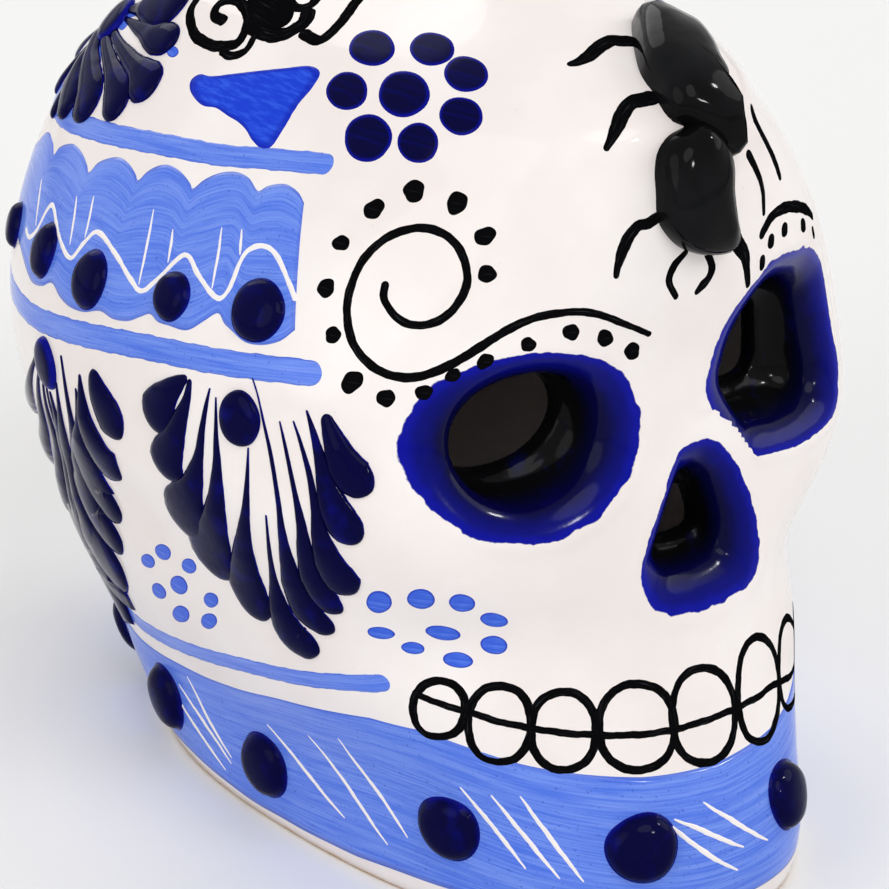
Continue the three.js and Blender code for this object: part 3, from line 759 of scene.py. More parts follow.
def ink_line(colours):
    """Black brush lines, greyer along the streaks where the brush runs dry."""
    graph = Graph("black_line", 0.2, specular=0.0)
    dry = graph.step(graph.streaks(3.2, 0.16), 0.56, 0.78)
    colour = graph.mix(dry * graph.attribute("tint") * 0.45, colours.ink, colours.smoke)
    return graph.finish(Base_Color=colour, Normal=graph.bump(dry, 0.2, 0.0001))


def blue_wash(colours):
    """Thin blue wash: pale and full streaks along the brush, darker at its edge."""
    graph = Graph("blue_wash", 0.14, specular=0.2)
    streak = graph.streaks(2.6, 0.055, 4)
    broad = graph.streaks(0.55, 0.03, 3)
    cover = graph.step(streak * 0.55 + broad * 0.45, 0.36, 0.64)
    colour = graph.mix(cover, colours.pale, colours.wash)
    pool = (1 - graph.step(graph.attribute("tint"), 0.15, 0.75)) * 0.22
    deep = graph.step(graph.streaks(4.5, 0.09, 2), 0.62, 0.74) * 0.3
    colour = graph.mix(pool + deep, colour, colours.bright)
    dots = graph.step(graph.noise(1500, 1), 0.66, 0.76) * 0.45
    colour = graph.mix(dots, colour, colours.bright)
    return graph.finish(Base_Color=colour, Normal=graph.bump(streak, 0.15, 0.0001))


def flat_paint(colours, name, first, second, streak):
    """Brushed paint: one colour with streaks of another, darker at its edge."""
    graph = Graph(name, 0.14, specular=0.03)
    grain = graph.step(graph.streaks(1.1, 0.35, 4), 0.42, 0.7)
    colour = graph.mix(grain * streak, first, second)
    edge = 1 - graph.step(graph.attribute("tint"), 0.05, 0.2)
    colour = graph.mix(edge * 0.6, colour, colours.bright)
    return graph.finish(Base_Color=colour, Normal=graph.bump(grain, 0.12, 0.0001))


def bare_line(colours):
    """White glaze laid bare by a scratch through the wash."""
    graph = Graph("scratch", 0.2, specular=0.3)
    dry = graph.step(graph.streaks(5.0, 0.3), 0.55, 0.8)
    colour = graph.mix(dry * 0.35, colours.white, colours.pale)
    return graph.finish(Base_Color=colour)


# Places of the relief: bearings in degrees round the skull and shares of its height. A temple
# pellet's sizes are shares of the pellet's half width, across and up
TEMPLE_DOME_SHARES = [
    (72.9, 0.707), (92, 0.6855), (112.3, 0.656), (126.8, 0.646), (141.5, 0.622)]
TEMPLE_DOME_SIZES = [(1.19, 1.12), (0.94, 0.9), (1.03, 1.14), (0.88, 1.1), (0.85, 0.9)]
FOOT_DOME_SHARES = [
    (12, 0.114), (39.5, 0.107), (91.5, 0.074), (132, 0.066), (159, 0.06), (180, 0.058),
    (-159, 0.06), (-132, 0.066), (-91.5, 0.074), (-39.5, 0.108), (-13, 0.114)]
SIDE_OVAL_SHARE = (72.2, 0.5965)
REAR_OVAL_SHARE = (121.2, 0.528)
CROWN_OVAL_SHARE = (154, 0.845)

# Petals seen in the photograph: rows of a pixel and the half width there, stem first
SIDE_PETAL_PIXELS = [
    [(187, 377, 3), (178, 384, 8), (168, 394, 13), (161, 405, 16.5), (157, 415, 17),
     (153, 428, 14)],
    [(190, 379, 2), (187, 398, 4), (181, 417, 7), (175, 436, 10.5), (168, 456, 15),
     (166, 476, 12)],
    [(210, 388, 0.8), (206, 406, 2), (202, 430, 3), (199, 455, 4.5), (194, 480, 9),
     (188, 503, 14.5), (189, 534, 11)],
    [(216, 397, 0.7), (216, 434, 2.2), (217, 463, 4), (216.5, 500, 7.5), (214, 530, 11),
     (213, 552, 14), (220, 577, 9)],
    [(248.3, 447.5, 0.8), (247.7, 466, 1.5), (246, 504, 3.4), (244, 536, 6),
     (245, 561, 8.6), (250, 590, 13), (262, 620, 8)],
    [(266, 515, 0.8), (269, 548, 1.6), (273, 575, 2.6), (278, 598, 6), (285, 618, 10),
     (297, 637, 13), (320, 652, 9)],
    [(252.5, 378, 0.6), (258, 396, 0.8), (264, 424, 1.3), (271, 456, 2), (278, 500, 2.4),
     (282, 532, 3.6), (288, 562, 6), (297, 590, 9.5), (310, 613, 11.5), (334, 633, 7)],
    [(279.7, 421, 0.8), (286, 450, 1.8), (294.6, 492, 2.6), (301, 523, 4.6),
     (306, 554, 7.5), (314, 580, 9.5), (327, 600, 10), (342, 613, 5)],
    [(293.3, 420.7, 0.8), (300, 441, 1.8), (309, 473, 3), (315, 505, 4.5), (320, 533, 8),
     (330, 561, 13), (343, 582, 14.5), (354, 594, 10)],
    [(306.5, 410, 1), (313.5, 433, 3.5), (321, 462, 6.5), (329, 492, 12), (341, 519, 17),
     (357, 544, 13)],
    [(325, 414, 5), (332, 434, 10), (341, 456, 16), (353, 476, 20), (372, 492, 14)]]
REAR_PETAL_PIXELS = [
    [(92, 369, 3), (97, 385, 7), (104, 403, 11), (112, 421, 12), (120, 440, 8)],
    [(79.6, 374, 1), (82, 395, 3), (87, 420, 6), (97, 444, 8.5), (109, 463, 9.5),
     (122, 480, 6)],
    [(75.9, 388, 0.8), (79, 420, 2), (85, 450, 5), (96, 480, 8.5), (108, 499, 9),
     (122, 514, 6)],
    [(61, 355, 0.8), (67, 395, 1.4), (74, 430, 1.8), (82, 465, 3), (92, 500, 7),
     (106, 524, 8.5), (122, 540, 5)],
    [(56, 381, 0.8), (63, 430, 1.4), (74, 475, 1.8), (86, 512, 3.4), (98, 541, 7.5),
     (110, 556, 8), (122, 566, 5)],
    [(50, 391, 0.7), (60, 430, 1.2), (71, 479, 1.6), (84, 523, 3), (93, 552, 7),
     (106, 573, 8), (119, 588, 4)]]
REAR_PETAL_SHARES = [
    (122, 0.52, 146, 0.2), (122.5, 0.53, 151, 0.235), (123, 0.54, 155, 0.28),
    (123.5, 0.55, 158, 0.33)]
CROWN_PETAL_PIXELS = [
    [(106, 26, 0.8), (98, 40, 2), (84, 62, 3.5), (74, 85, 6.5), (69, 105, 6.3),
     (66, 118, 4)],
    [(106, 26, 1), (99, 36, 2.5), (92, 55, 4), (90, 71, 6.5), (90, 87, 9), (88, 104, 10.5),
     (86, 121, 8)],
    [(108, 27, 1.2), (106, 42, 3), (109, 58, 5), (114, 75, 8), (117, 92, 11),
     (115, 120, 10)],
    [(112, 22, 1.2), (116, 38, 3.5), (124, 51, 7), (134, 64, 11), (144, 77, 17),
     (149, 98, 14)],
    [(121, 15, 1.2), (132, 23, 5), (144, 31, 10), (156, 38, 15), (178, 40, 12)],
    [(124, 10, 1.3), (140, 8, 4), (152, 6, 10), (167, 3, 15), (192, -4, 12)]]
CROWN_PETAL_SHARES = [
    (153, 0.84, 147.5, 0.735), (154.5, 0.836, 156, 0.735), (156, 0.84, 164, 0.75)]
CROWN_SHADE_PIXELS = [
    [(99, 37, 2.5), (96, 60, 3.5), (98, 68, 3)], [(84, 55, 1.5), (83, 68, 2.5)],
    [(107, 30, 1.5), (111, 42, 2.5)], [(126, 13, 2.5), (140, 11, 3)],
    [(112, 19.5, 2), (120, 22, 6), (126, 27, 5)]]
CROWN_DOT_PIXEL = (172.7, 51.7, 6, 5.5)
# Half widths in millimetres: where a petal has its full rise, and its thinnest stem
FULL_PETAL = 3.2
THIN_STEM = 1.1

# The hollows: middle, half width and half height of the mouth and of the hole, and depth
EYE_MIDDLE = (35.4, 111.7)
EYE_MOUTH = (20.5, 17.6)
LEFT_EYE_WIDEN = 2.2
EYE_DEPTH = 13.0
EYE_HOLE = (14.7, 11.7)
EYE_HOLE_SHIFT = (-0.5, 1.4)
LEFT_EYE_HOLE = (9.5, 9.5)
LEFT_EYE_HOLE_SHIFT = (-4.0, 0.5)
NOSE_MIDDLE = (2.5, 86.5)
NOSE_MOUTH = (13.7, 14.6)
NOSE_HOLE = (6.0, 6.2)
NOSE_HOLE_SHIFT = (2.5, -2.0)
NOSE_DEPTH = 10.0
NOSE_OUTLINE_SHARES = [
    (0.166, 0.97), (-0.12, 0.96), (-0.278, 0.87), (-0.538, 0.44), (-0.78, -0.03),
    (-0.94, -0.39), (-0.876, -0.68), (-0.675, -0.92), (-0.42, -1.03), (0.047, -1.08),
    (0.74, -1.05), (1.0, -0.92), (1.06, -0.58), (0.95, -0.1), (0.69, 0.52), (0.4, 0.84)]
LEFT_EYE_OUTLINE_SHARES = [
    (-1.038, 0.21), (-1.0, 0.39), (-0.864, 0.78), (-0.64, 1.1), (-0.398, 1.27),
    (-0.125, 1.28), (0.288, 1.1), (0.57, 0.8), (0.67, 0.5), (0.71, 0.2), (0.73, -0.13),
    (0.74, -0.45), (0.7, -0.7), (0.57, -0.87), (0.29, -0.93), (-0.045, -0.9),
    (-0.333, -0.83), (-0.561, -0.76), (-0.68, -0.66), (-0.902, -0.27), (-1.02, 0.02)]

# Lip of a hollow: growth past the mouth and depth below the face, in millimetres
LIP_ROWS = np.array([
    [9.0, 0.0], [7.4, -0.05], [6.0, -0.22], [4.8, -0.42], [3.6, -0.42], [2.2, -0.15],
    [0.8, 0.45], [-0.8, 1.3], [-2.4, 2.5], [-3.6, 3.9], [-4.3, 5.4]])
BOWL_SHARES = np.array([0.2, 0.4, 0.6, 0.8, 0.92, 1.0])
TUBE_LENGTH = 4.0
OUTER_GROWTH = 9.0
INNER_SHARE = 0.36


class Hollow:
    """An eye or the nose: a flared lip, a bowl and a hole through the wall."""

    def __init__(self, skull, middle, mouth, hole, shift, depth, outline=None):
        self.skull = skull
        self.middle = np.array(middle)
        self.mouth, self.hole = np.array(mouth), np.array(hole)
        self.shift, self.depth = shift, depth
        self.scale = self.mouth.mean()
        self.outer = 1 + OUTER_GROWTH / self.scale
        if outline is None:
            self.turns = np.array([-np.pi, np.pi])
            self.reaches = np.ones(2)
        else:
            curve = smooth_path(outline, 0.02, closed=True)
            turns = np.arctan2(curve[:, 1], curve[:, 0])
            order = np.argsort(turns)
            self.turns = turns[order]
            self.reaches = np.hypot(*curve.T)[order]
        middle_point, _ = skull.on_face(*(np.array([v]) for v in self.middle))
        edge_point, _ = skull.on_face(
            np.array([self.middle[0] + np.sign(self.middle[0]) * self.mouth[0]]),
            np.array([self.middle[1]]))
        self.face_y = middle_point[0, 1]
        self.tilt = (edge_point[0, 1] - self.face_y) / self.mouth[0] \
            * np.sign(self.middle[0]) / 2

    def polar(self, x, z):
        """Turn round the middle, and distance as a share of the mouth's outline."""
        across, up = (x - self.middle[0]) / self.mouth[0], (z - self.middle[1]) / self.mouth[1]
        turn = np.arctan2(up, across)
        reach = np.interp(turn, self.turns, self.reaches, period=2 * np.pi)
        return turn, np.hypot(across, up) / reach

    def ring(self, turn, share, half):
        reach = np.interp(turn, self.turns, self.reaches, period=2 * np.pi) * share
        return half[0] * reach * np.cos(turn), half[1] * reach * np.sin(turn)

    def surface(self, turn, step):
        """The point at a turn and a step: 0 at the outer edge of the lip, 1 at the tube's end.

        The lip is the face's point at the mouth grown by the lip table, moved in along the
        normal. The bowl is a quarter ellipse from the lip's last ring to the hole, and the
        tube runs straight back from the hole. Returns points and the distance from the mouth
        along the profile.
        """
        steps, values = self.profile()
        growth = np.interp(step, steps, values[:, 0])
        inset = np.interp(step, steps, values[:, 1])
        bowl = np.interp(step, steps, values[:, 2])
        tube = np.interp(step, steps, values[:, 3])
        dx, dz = self.ring(turn, 1 + growth / self.scale, self.mouth)
        face, normal = self.skull.on_face(self.middle[0] + dx, self.middle[1] + dz)
        lip = face - normal * inset[:, None]
        hx, hz = self.ring(turn, 1.0, self.hole)
        hole = np.stack([
            self.middle[0] + self.shift[0] + hx,
            self.face_y + self.depth + self.tilt * hx + tube,
            self.middle[1] + self.shift[1] + hz], -1)
        inwards = (1 - np.cos(bowl * np.pi / 2))[:, None]
        deeper = np.sin(bowl * np.pi / 2)[:, None]
        weight = inwards * [1, 0, 1] + deeper * [0, 1, 0]
        return lip * (1 - weight) + hole * weight, growth - inset - bowl * self.depth

    def profile(self):
        """Steps along the profile by its length, and at each the lip's growth and depth, the
        bowl's share and the tube's length."""
        rows = [[g, d, 0, 0] for g, d in LIP_ROWS]
        last = LIP_ROWS[-1].tolist()
        rows += [last + [b, 0] for b in BOWL_SHARES] + [last + [1, TUBE_LENGTH]]
        rows = np.array(rows, float)
        in_reach = self.mouth.mean() + last[0] - self.hole.mean()
        flat = np.stack([
            rows[:, 0] - in_reach * (1 - np.cos(rows[:, 2] * np.pi / 2)),
            rows[:, 1] + (self.depth - last[1]) * np.sin(rows[:, 2] * np.pi / 2)
            + rows[:, 3]], -1)
        run = np.concatenate([[0], np.cumsum(np.linalg.norm(np.diff(flat, axis=0), axis=1))])
        return run / run[-1], rows


def skull_hollows(skull):
    """Both eyes and the nose."""
    (x, z), (half_width, half_height) = EYE_MIDDLE, EYE_MOUTH
    right = Hollow(skull, (-x, z), EYE_MOUTH, EYE_HOLE, EYE_HOLE_SHIFT, EYE_DEPTH)
    left = Hollow(
        skull, (x - LEFT_EYE_WIDEN, z), (half_width + LEFT_EYE_WIDEN, half_height),
        LEFT_EYE_HOLE, LEFT_EYE_HOLE_SHIFT, EYE_DEPTH, LEFT_EYE_OUTLINE_SHARES)
    nose = Hollow(skull, NOSE_MIDDLE, NOSE_MOUTH, NOSE_HOLE, NOSE_HOLE_SHIFT, NOSE_DEPTH,
                  NOSE_OUTLINE_SHARES)
    return [right, left, nose]


# The shell's grid: knots and the number of steps between them, closer over the face
SHELL_BEARINGS = ([-180, -66, 66, 180], [40, 184, 40])
SHELL_HEIGHT_SHARES = ([0, 0.3, 0.78, 1], [20, 124, 24])
# The foot's rounding and its first row, and a distance past the reach of any hollow's glaze
FOOT_ROUND = 1.6
FOOT_ROW = 0.35
AWAY = 60.0


def graded(knots, counts):
    """Even steps between knots, each stretch with its own count, without the last end."""
    parts = [np.linspace(a, b, n, endpoint=False)
             for a, b, n in zip(knots[:-1], knots[1:], counts)]
    return np.concatenate(parts)


def shell_piece(skull, sizes, colours):
    """The shell: a grid of bearings and heights, drawn in to lips, bowls and holes.

    The outer sheet is closed by an inner one, a wall's thickness further in along the
    normals, and by walls round the foot and the holes.
    """
    bearings = graded(*SHELL_BEARINGS)
    shares = graded(*SHELL_HEIGHT_SHARES)
    heights = np.concatenate([[0.0, FOOT_ROW], shares[1:] * skull.height])
    inset = FOOT_ROUND * (1 - np.sqrt(np.clip(
        1 - (1 - np.minimum(heights / FOOT_ROUND, 1)) ** 2, 0, 1)))
    points = skull.place(bearings[None], heights[:, None])
    level_out = unit((points - skull.core) * [1, 1, 0])
    points = points - level_out * inset[:, None, None]
    rows, columns = points.shape[:2]
    points = points.reshape(-1, 3)
    hollow = np.full(len(points), AWAY)
    gone = np.zeros(len(points), bool)
    front = points[:, 1] < skull.axis_y
    for place in skull.hollows:
        turn, share = place.polar(points[:, 0], points[:, 2])
        near = front & (share < place.outer)
        step = (place.outer - share) / (place.outer - INNER_SHARE)
        moved, depth = place.surface(turn[near], np.clip(step[near], 0, 1))
        hollow = np.where(front, np.minimum(hollow, (share - 1) * place.scale), hollow)
        hollow[near] = depth
        points[near] = moved
        gone |= front & (step >= 1)
    pole = np.array([[0.0, skull.axis_y, skull.height]])
    points = np.vstack([points, pole])
    gone = np.append(gone, False)
    hollow = np.append(hollow, AWAY)
    grid = np.arange(rows * columns).reshape(rows, columns)
    right = np.roll(grid, -1, 1)
    quads = np.stack([grid[:-1], right[:-1], right[1:], grid[1:]], -1).reshape(-1, 4)
    quads = quads[~gone[quads].all(1)]
    # A quad is split between the corners that lie at the more even distance from a mouth,
    # so that the glaze's edge runs smoothly
    a, b, c, d = hollow[quads].T
    across = np.abs(a - c) > np.abs(b - d)
    quads[across] = np.roll(quads[across], -1, 1)
    fan = np.stack([grid[-1], right[-1], np.full(columns, rows * columns)], -1)
    normals = sheet_normals(points, [quads, fan])
    blend = np.clip((hollow - OUTER_GROWTH) / OUTER_GROWTH, 0, 1)
    thick = sizes.socket_wall / MM + (sizes.wall - sizes.socket_wall) / MM * blend
    inner = points - normals * thick[:, None]
    inner[:columns, 2] = 0
    inner[:, 2] = np.maximum(inner[:, 2], 0)
    count = len(points)
    edges = boundary_edges([quads, fan])
    walls = np.stack([edges[:, 1], edges[:, 0], edges[:, 0] + count, edges[:, 1] + count], -1)
    used = np.zeros(2 * count, bool)
    for face in (quads, fan, quads + count, fan + count):
        used[face.ravel()] = True
    index = np.cumsum(used) - 1
    faces = [quads, fan, quads[:, ::-1] + count, fan[:, ::-1] + count, walls]
    clay = Clay()
    clay.add(np.vstack([points, inner])[used], [index[face] for face in faces],
             tints=np.concatenate([hollow, hollow])[used])
    shell = clay.piece("skull_glaze", white_glaze(colours), "white_glaze", ["skull_shell"])
    for name, values in (
            ("hollow", np.concatenate([hollow, hollow])),
            ("inside", np.concatenate([np.zeros(count), np.ones(count)]))):
        layer = shell.data.attributes.new(name, "FLOAT", "POINT")
        layer.data.foreach_set("value", values[used])
    return shell


def sheet_normals(points, faces):
    """Outward normals at the points of a sheet, from the sum of its faces' normals."""
    normals = np.zeros_like(points)
    for face in faces:
        a, b, c = (points[face[:, k]] for k in (0, 1, -1))
        normal = np.cross(b - a, c - a)
        if face.shape[1] == 4:
            normal = np.cross(points[face[:, 2]] - a, points[face[:, 3]] - b)
        for k in range(face.shape[1]):
            np.add.at(normals, face[:, k], normal)
    size = np.linalg.norm(normals, axis=1, keepdims=True)
    return normals / np.maximum(size, 1e-12)


def boundary_edges(faces):
    """Directed edges that only one face has."""
    edges = np.concatenate([
        np.stack([face[:, k], face[:, (k + 1) % face.shape[1]]], -1)
        for face in faces for k in range(face.shape[1])])
    base = edges.max() + 1
    forward = edges[:, 0] * base + edges[:, 1]
    backward = edges[:, 1] * base + edges[:, 0]
    return edges[~np.isin(forward, backward)]


def add_petal(clay, skull, sizes, path, half_width, seed, mirrored=True):
    """One slip petal: a trail that is low and narrow at its stem and full at its drop."""
    rises = sizes.petal_rise / MM * np.clip(half_width / FULL_PETAL, 0.18, 1)
    parts = stroke(skull, path, half_width, 0, seed=seed, wobble=0.04, around=9,
                   rises=rises, sink=0.5, full=THIN_STEM)
    clay.add(*outward(skull, parts), mirrored=mirrored)


def turned_over(skull, path, turn=0.0):
    """A path or an outline carried to the skull's other side, and on by a turn."""
    places = skull.bearing_of(path)
    return skull.place(turn - places[:, 0], places[:, 1])


def plain_petal(skull, shares, half_width):
    """A petal that the photograph doesn't show, between two bearings and height shares."""
    start_bearing, start_share, end_bearing, end_share = shares
    t = np.linspace(0, 1, 40)
    path = skull.place(-(start_bearing + (end_bearing - start_bearing) * t**1.4),
                       (start_share + (end_share - start_share) * t) * skull.height)
    return path, half_width * (0.12 + 0.88 * np.clip(t / 0.8, 0, 1) ** 1.6)


def add_dome(clay, skull, place, half_width, half_height, rise, rings=DOME_RINGS, turn=0.0,
             mirrored=False, seed=0, wobble=0.02):
    """A rounded pellet pressed onto the skull."""
    bearing, share = place
    middle = skull.place(bearing, share * skull.height)
    outline = oval(skull, middle, half_width, half_height, turn, wobble=wobble, seed=seed)
    parts = outward(skull, blot(skull, outline, rise, rings, sink=0.8))
    clay.add(*parts, mirrored=mirrored)


def mirrored_place(place):
    """The same place on the skull's right side."""
    return -place[0], place[1]


# Strokes and dots, as pixels of the photograph
BROW_PIXELS = [
    (386, 281), (384, 298), (396, 317), (414, 325), (436, 322), (456, 306), (467, 282),
    (462, 254), (444, 234), (418, 228), (390, 236), (366, 256), (351, 286), (347, 316),
    (354, 345), (372, 366), (398, 377), (428, 374), (462, 358), (494, 338), (526, 321),
    (560, 313), (592, 313), (622, 323), (651, 335)]
BROW_DOT_PIXELS = [
    (414, 191, 12), (457, 203, 12), (374, 209, 11), (485, 236, 11), (341, 243, 9),
    (487, 274, 10), (326, 288, 10), (333, 335, 9), (352, 382, 12), (386, 398, 10),
    (424, 392, 9), (453, 375, 8), (485, 361, 9), (528, 344, 8), (571, 332, 9),
    (605, 338, 9), (632, 351, 9)]
# The left side isn't seen: its brow's spiral and its side fan are the right ones carried over
# and turned further back, in degrees. The spiral has the brow's first points
FAR_BROW_JOIN = 19
FAR_BROW_TURN = 16.0
FAR_FAN_TURN = 8.0
FAR_ARC_WIDTH = 1.35
MIRRORED_DOT_X = 400
# The beetle's lobes: pixels of their outline and the height in millimetres it is seen at
BEETLE_HEAD_PIXELS = [
    (683, 128, 0), (668, 137, 0), (658, 152, 0), (655, 170, 0), (656, 190, 0), (657, 215, 0),
    (664, 230, 0.5), (676, 244, 0.5), (690, 252, 1), (706, 254, 1), (722, 250, 1),
    (733, 240, 3), (737, 220, 5), (738, 190, 6), (738, 160, 6), (732, 140, 5),
    (716, 126, 4), (698, 120, 3)]
BEETLE_TAIL_PIXELS = [
    (683, 125, 0), (672, 120, 0), (662, 108, 0), (654, 93, 0), (642, 76, 0), (636, 57, 0),
    (633, 38, 0), (632, 26, 0), (636, 12, 2), (648, 3, 4), (664, 4, 5), (680, 12, 5),
    (703, 25, 5), (724, 42, 6), (739, 62, 7), (748, 81, 7.2), (749, 100, 7.2),
    (748, 125, 6.3), (742, 150, 5.3), (736, 158, 3.5), (720, 152, 1), (700, 137, 0)]

# The beetle's legs and jaws, the other strokes over the far brow: pixels and half widths
LEG_PIXELS = [
    [(640, 41, 4.8), (622, 41, 5.2), (610, 41, 5.4), (599, 47, 5.7), (590, 55.5, 5.7),
     (578, 62, 3.8), (567, 65, 2)],
    [(660, 96, 6.7), (643, 99.5, 6.7), (631, 103, 7.3), (622, 115, 7.6), (616.5, 128, 7.3),
     (611, 140, 4.8), (605, 151, 2.7)],
    [(664, 213, 5.4), (649, 223, 5.4), (638, 226, 5.4), (629, 237, 6.1), (622, 252.5, 5.4),
     (617.5, 268, 3.8), (616, 279, 2.7)],
    [(730, 230, 6.7), (740, 247, 6.7), (744.7, 256, 4.8), (746.6, 268, 2.9),
     (746.3, 287, 1.9)],
    [(750.5, 104, 1.4), (756, 122, 2), (767.7, 145, 2), (776, 164.5, 2), (781, 180, 1.5)],
    [(746.6, 151, 3.8), (752, 161, 2.9), (759, 176, 2.3), (763, 193, 1.9), (764, 216, 1.5)],
    [(688, 250, 2.3), (674, 266, 3.4), (669, 281, 3.4), (674, 293, 3.1), (677, 299, 2.7)],
    [(706, 250, 3.8), (712, 266, 3.4), (709, 277, 3.1), (702.6, 285, 3.8), (695, 294.6, 1.9)],
    [(762, 254.5, 2.3), (760, 270, 2.3)], [(772, 233.4, 2.9), (769.6, 248.7, 2.9)],
    [(785, 222, 2.9), (784, 237, 2.9)], [(803, 218, 2.5), (803, 232.5, 2.5)],
    [(812, 226, 1.2), (813, 239, 1.2)]]
FAR_ARC_PIXELS = [
    (760, 239), (765, 228), (772.5, 216), (783, 208.5), (796, 206.5), (807, 210), (813, 217)]
FLOWER_PIXELS = [
    (404, 94, 26, 23), (372, 48, 23, 18), (432, 49, 22, 17), (466, 74, 22, 18),
    (461, 116, 22, 19), (418, 143, 21, 20), (368, 138, 24, 24), (347, 91, 21, 19)]
TRIANGLE_PIXELS = [
    (190, 90), (191, 80), (200, 74), (210, 76), (230, 74), (256, 71), (285, 68), (310, 66),
    (320, 73), (312, 88), (298, 105), (284, 128), (272, 146), (262, 149), (252, 140),
    (246, 130), (238, 122), (228, 116), (216, 108), (204, 106), (196, 100)]
FAR_DOT_TURN = {"dot_flowers": 14.0, "cheek_dots": 11.0, "jaw_dots": 0.0}
CHEEK_DOT_PIXELS = [
    (379, 602, 13, 11), (421, 599, 14, 10), (462, 603, 13, 9), (494, 620, 14, 7),
    (443, 633, 18, 7), (494, 645, 14, 9), (381, 633, 14, 6), (413, 648, 12, 6),
    (458, 660, 15, 8)]
JAW_DOT_PIXELS = [
    (148, 561, 8, 6), (163, 552, 9, 7), (189, 566, 8, 7), (179, 585, 10, 8),
    (159, 591, 9, 6), (211, 600, 8, 7), (181, 614, 9, 8), (209, 621, 8, 8)]
SCROLL_PIXELS = [
    ([(226, 22), (214, 14), (222, 2), (240, 2), (248, 20), (238, 42), (216, 46), (196, 36),
      (190, 14), (200, -6)], 1.3),
    ([(246, 20), (262, 32), (284, 34), (304, 22), (308, 8)], 1.9),
    ([(256, 34), (246, 50), (230, 56), (220, 50)], 1.0),
    ([(300, 32), (318, 40), (334, 30), (350, 10), (362, -6)], 1.4),
    ([(286, -4), (296, 8), (312, 4), (318, -8)], 1.3)]
SCROLL_DOT_PIXELS = [(270, 8, 24, 23)]
PANEL_TOP_PIXELS = [
    (38, 142), (48, 132), (53, 143), (54, 155), (60, 147), (73, 144),
    (82, 153), (87, 165), (89, 173), (98, 163), (110, 158), (121, 158), (130, 165),
    (136, 175), (138, 181), (147, 172), (158, 166), (169, 165), (181, 172), (190, 183),
    (193, 189), (204, 180), (220, 173), (236, 172), (249, 178), (258, 191), (268, 186),
    (285, 184), (298, 192), (304, 203)]
PANEL_LOW_PIXELS = [
    (20, 245), (23, 257), (28, 274), (33, 283), (42, 286), (52, 283), (60, 297), (70, 307),
    (84, 312), (100, 311), (113, 319), (128, 321), (140, 317), (150, 314), (158, 322),
    (170, 326), (182, 330), (191, 329), (204, 321), (218, 313), (224, 323), (231, 330),
    (245, 342), (262, 345), (280, 341), (295, 330)]
PANEL_WAVE_PIXELS = [
    (26, 228), (29, 237), (37, 230), (52, 205), (59, 236), (70, 258), (84, 243), (98, 232),
    (115, 253), (130, 278), (141, 291), (157, 280), (185, 255), (199, 276), (217, 298),
    (229, 289), (244, 255), (260, 246), (275, 253), (288, 280), (296, 301)]
PANEL_TICK_PIXELS = [
    [(42, 179), (39, 200), (36, 226)], [(77, 196), (74, 220), (70, 245)],
    [(94, 196), (90, 216), (85, 238)], [(154, 209), (147, 246), (139, 285)],
    [(173, 229), (171, 246), (168, 263)], [(222, 227), (218, 256), (212, 289)],
    [(242, 229), (241, 242), (240, 255)]]

# Washes and stripes, as bearings from the face in degrees and heights in millimetres
PANEL_REAR_TOP = [(151.5, 130)]
PANEL_REAR_LOW = [(151, 127.5), (148.5, 122), (142.5, 118.5)]
BAND_TOP = [
    (0, 35.4), (12, 36.6), (29, 40), (44, 43.8), (54, 43.3), (67.5, 39.8), (97, 31.4),
    (121.5, 25.6), (140, 21.6), (160, 20.2), (180, 19.8)]
BAND_FOOT = [(0, 6.4), (38, 5.4), (60, 3.6), (90, 2.8), (180, 2.8)]
STRIPES = [
    ([(66.4, 161.6), (85, 158.4), (104, 154.5), (131, 147.6), (147, 142.5), (165, 139.5),
      (180, 139)], 2.4),
    ([(59.3, 126.1), (76, 123.3), (92.7, 119.4), (116.4, 111.5), (131.6, 106.7),
      (155, 102.6), (180, 101.3)], 2.7),
    ([(49.8, 54.4), (62, 50), (82.7, 43.4), (109, 35.4), (133, 28.6), (158, 26),
      (180, 25.4)], 2.2)]
SCRATCH_PIXELS = [
    [(267, 724), (305, 770), (345, 818)], [(308, 735), (340, 775), (388, 845)],
    [(338, 738), (360, 768), (408, 838)], [(460, 787), (486, 818), (526, 869)],
    [(491, 795), (518, 828), (560, 879)], [(520, 796), (546, 832), (584, 882)],
    [(703, 802), (735, 822), (768, 840)], [(674, 819), (704, 831), (744, 847)],
    [(664, 820), (696, 846), (738, 870)], [(169, 682), (198, 730), (226, 770)],
    [(179, 684), (208, 728), (232, 764)], [(187, 676), (205, 712), (232, 758)]]
MIRRORED_SCRATCH_X = 420
TICK_HALF_WIDTH = 0.42
SCRATCH_HALF_WIDTH = 0.6

# Teeth seen in the photograph: left, right, top and bottom pixels. Two more are hidden behind
# the far jaw: their x and z ranges in millimetres from the front
TEETH_PIXELS = [
    (413, 465, 681, 737), (468, 531, 686, 762), (531, 596, 692, 770), (599, 675, 684, 770),
    (672, 735, 668, 763), (738, 779, 637, 742), (779, 797, 618, 708)]
HIDDEN_TEETH = [(38.5, 45.5, 35.0, 49.0), (45.7, 52.0, 36.0, 48.0)]
BITE_PIXELS = [
    (412, 692), (440, 704), (468, 712), (500, 722), (530, 728), (563, 733), (597, 735),
    (635, 735), (672, 730), (704, 721), (734, 709), (756, 698), (777, 683), (795, 662)]
HIDDEN_BITE = [(42.0, 43.0), (47.0, 42.4), (53.0, 42.0)]


# Operators


class SkullOperator(bpy.types.Operator):
    """Shared by the skull's operators: the sizes, the colours and the surface."""
    bl_options = {"REGISTER", "UNDO"}

    def execute(self, context):
        sizes = context.scene.skull_sizes
        colours = context.scene.skull_colours
        self.build(SkullSurface(sizes), sizes, colours)
        return {"FINISHED"}


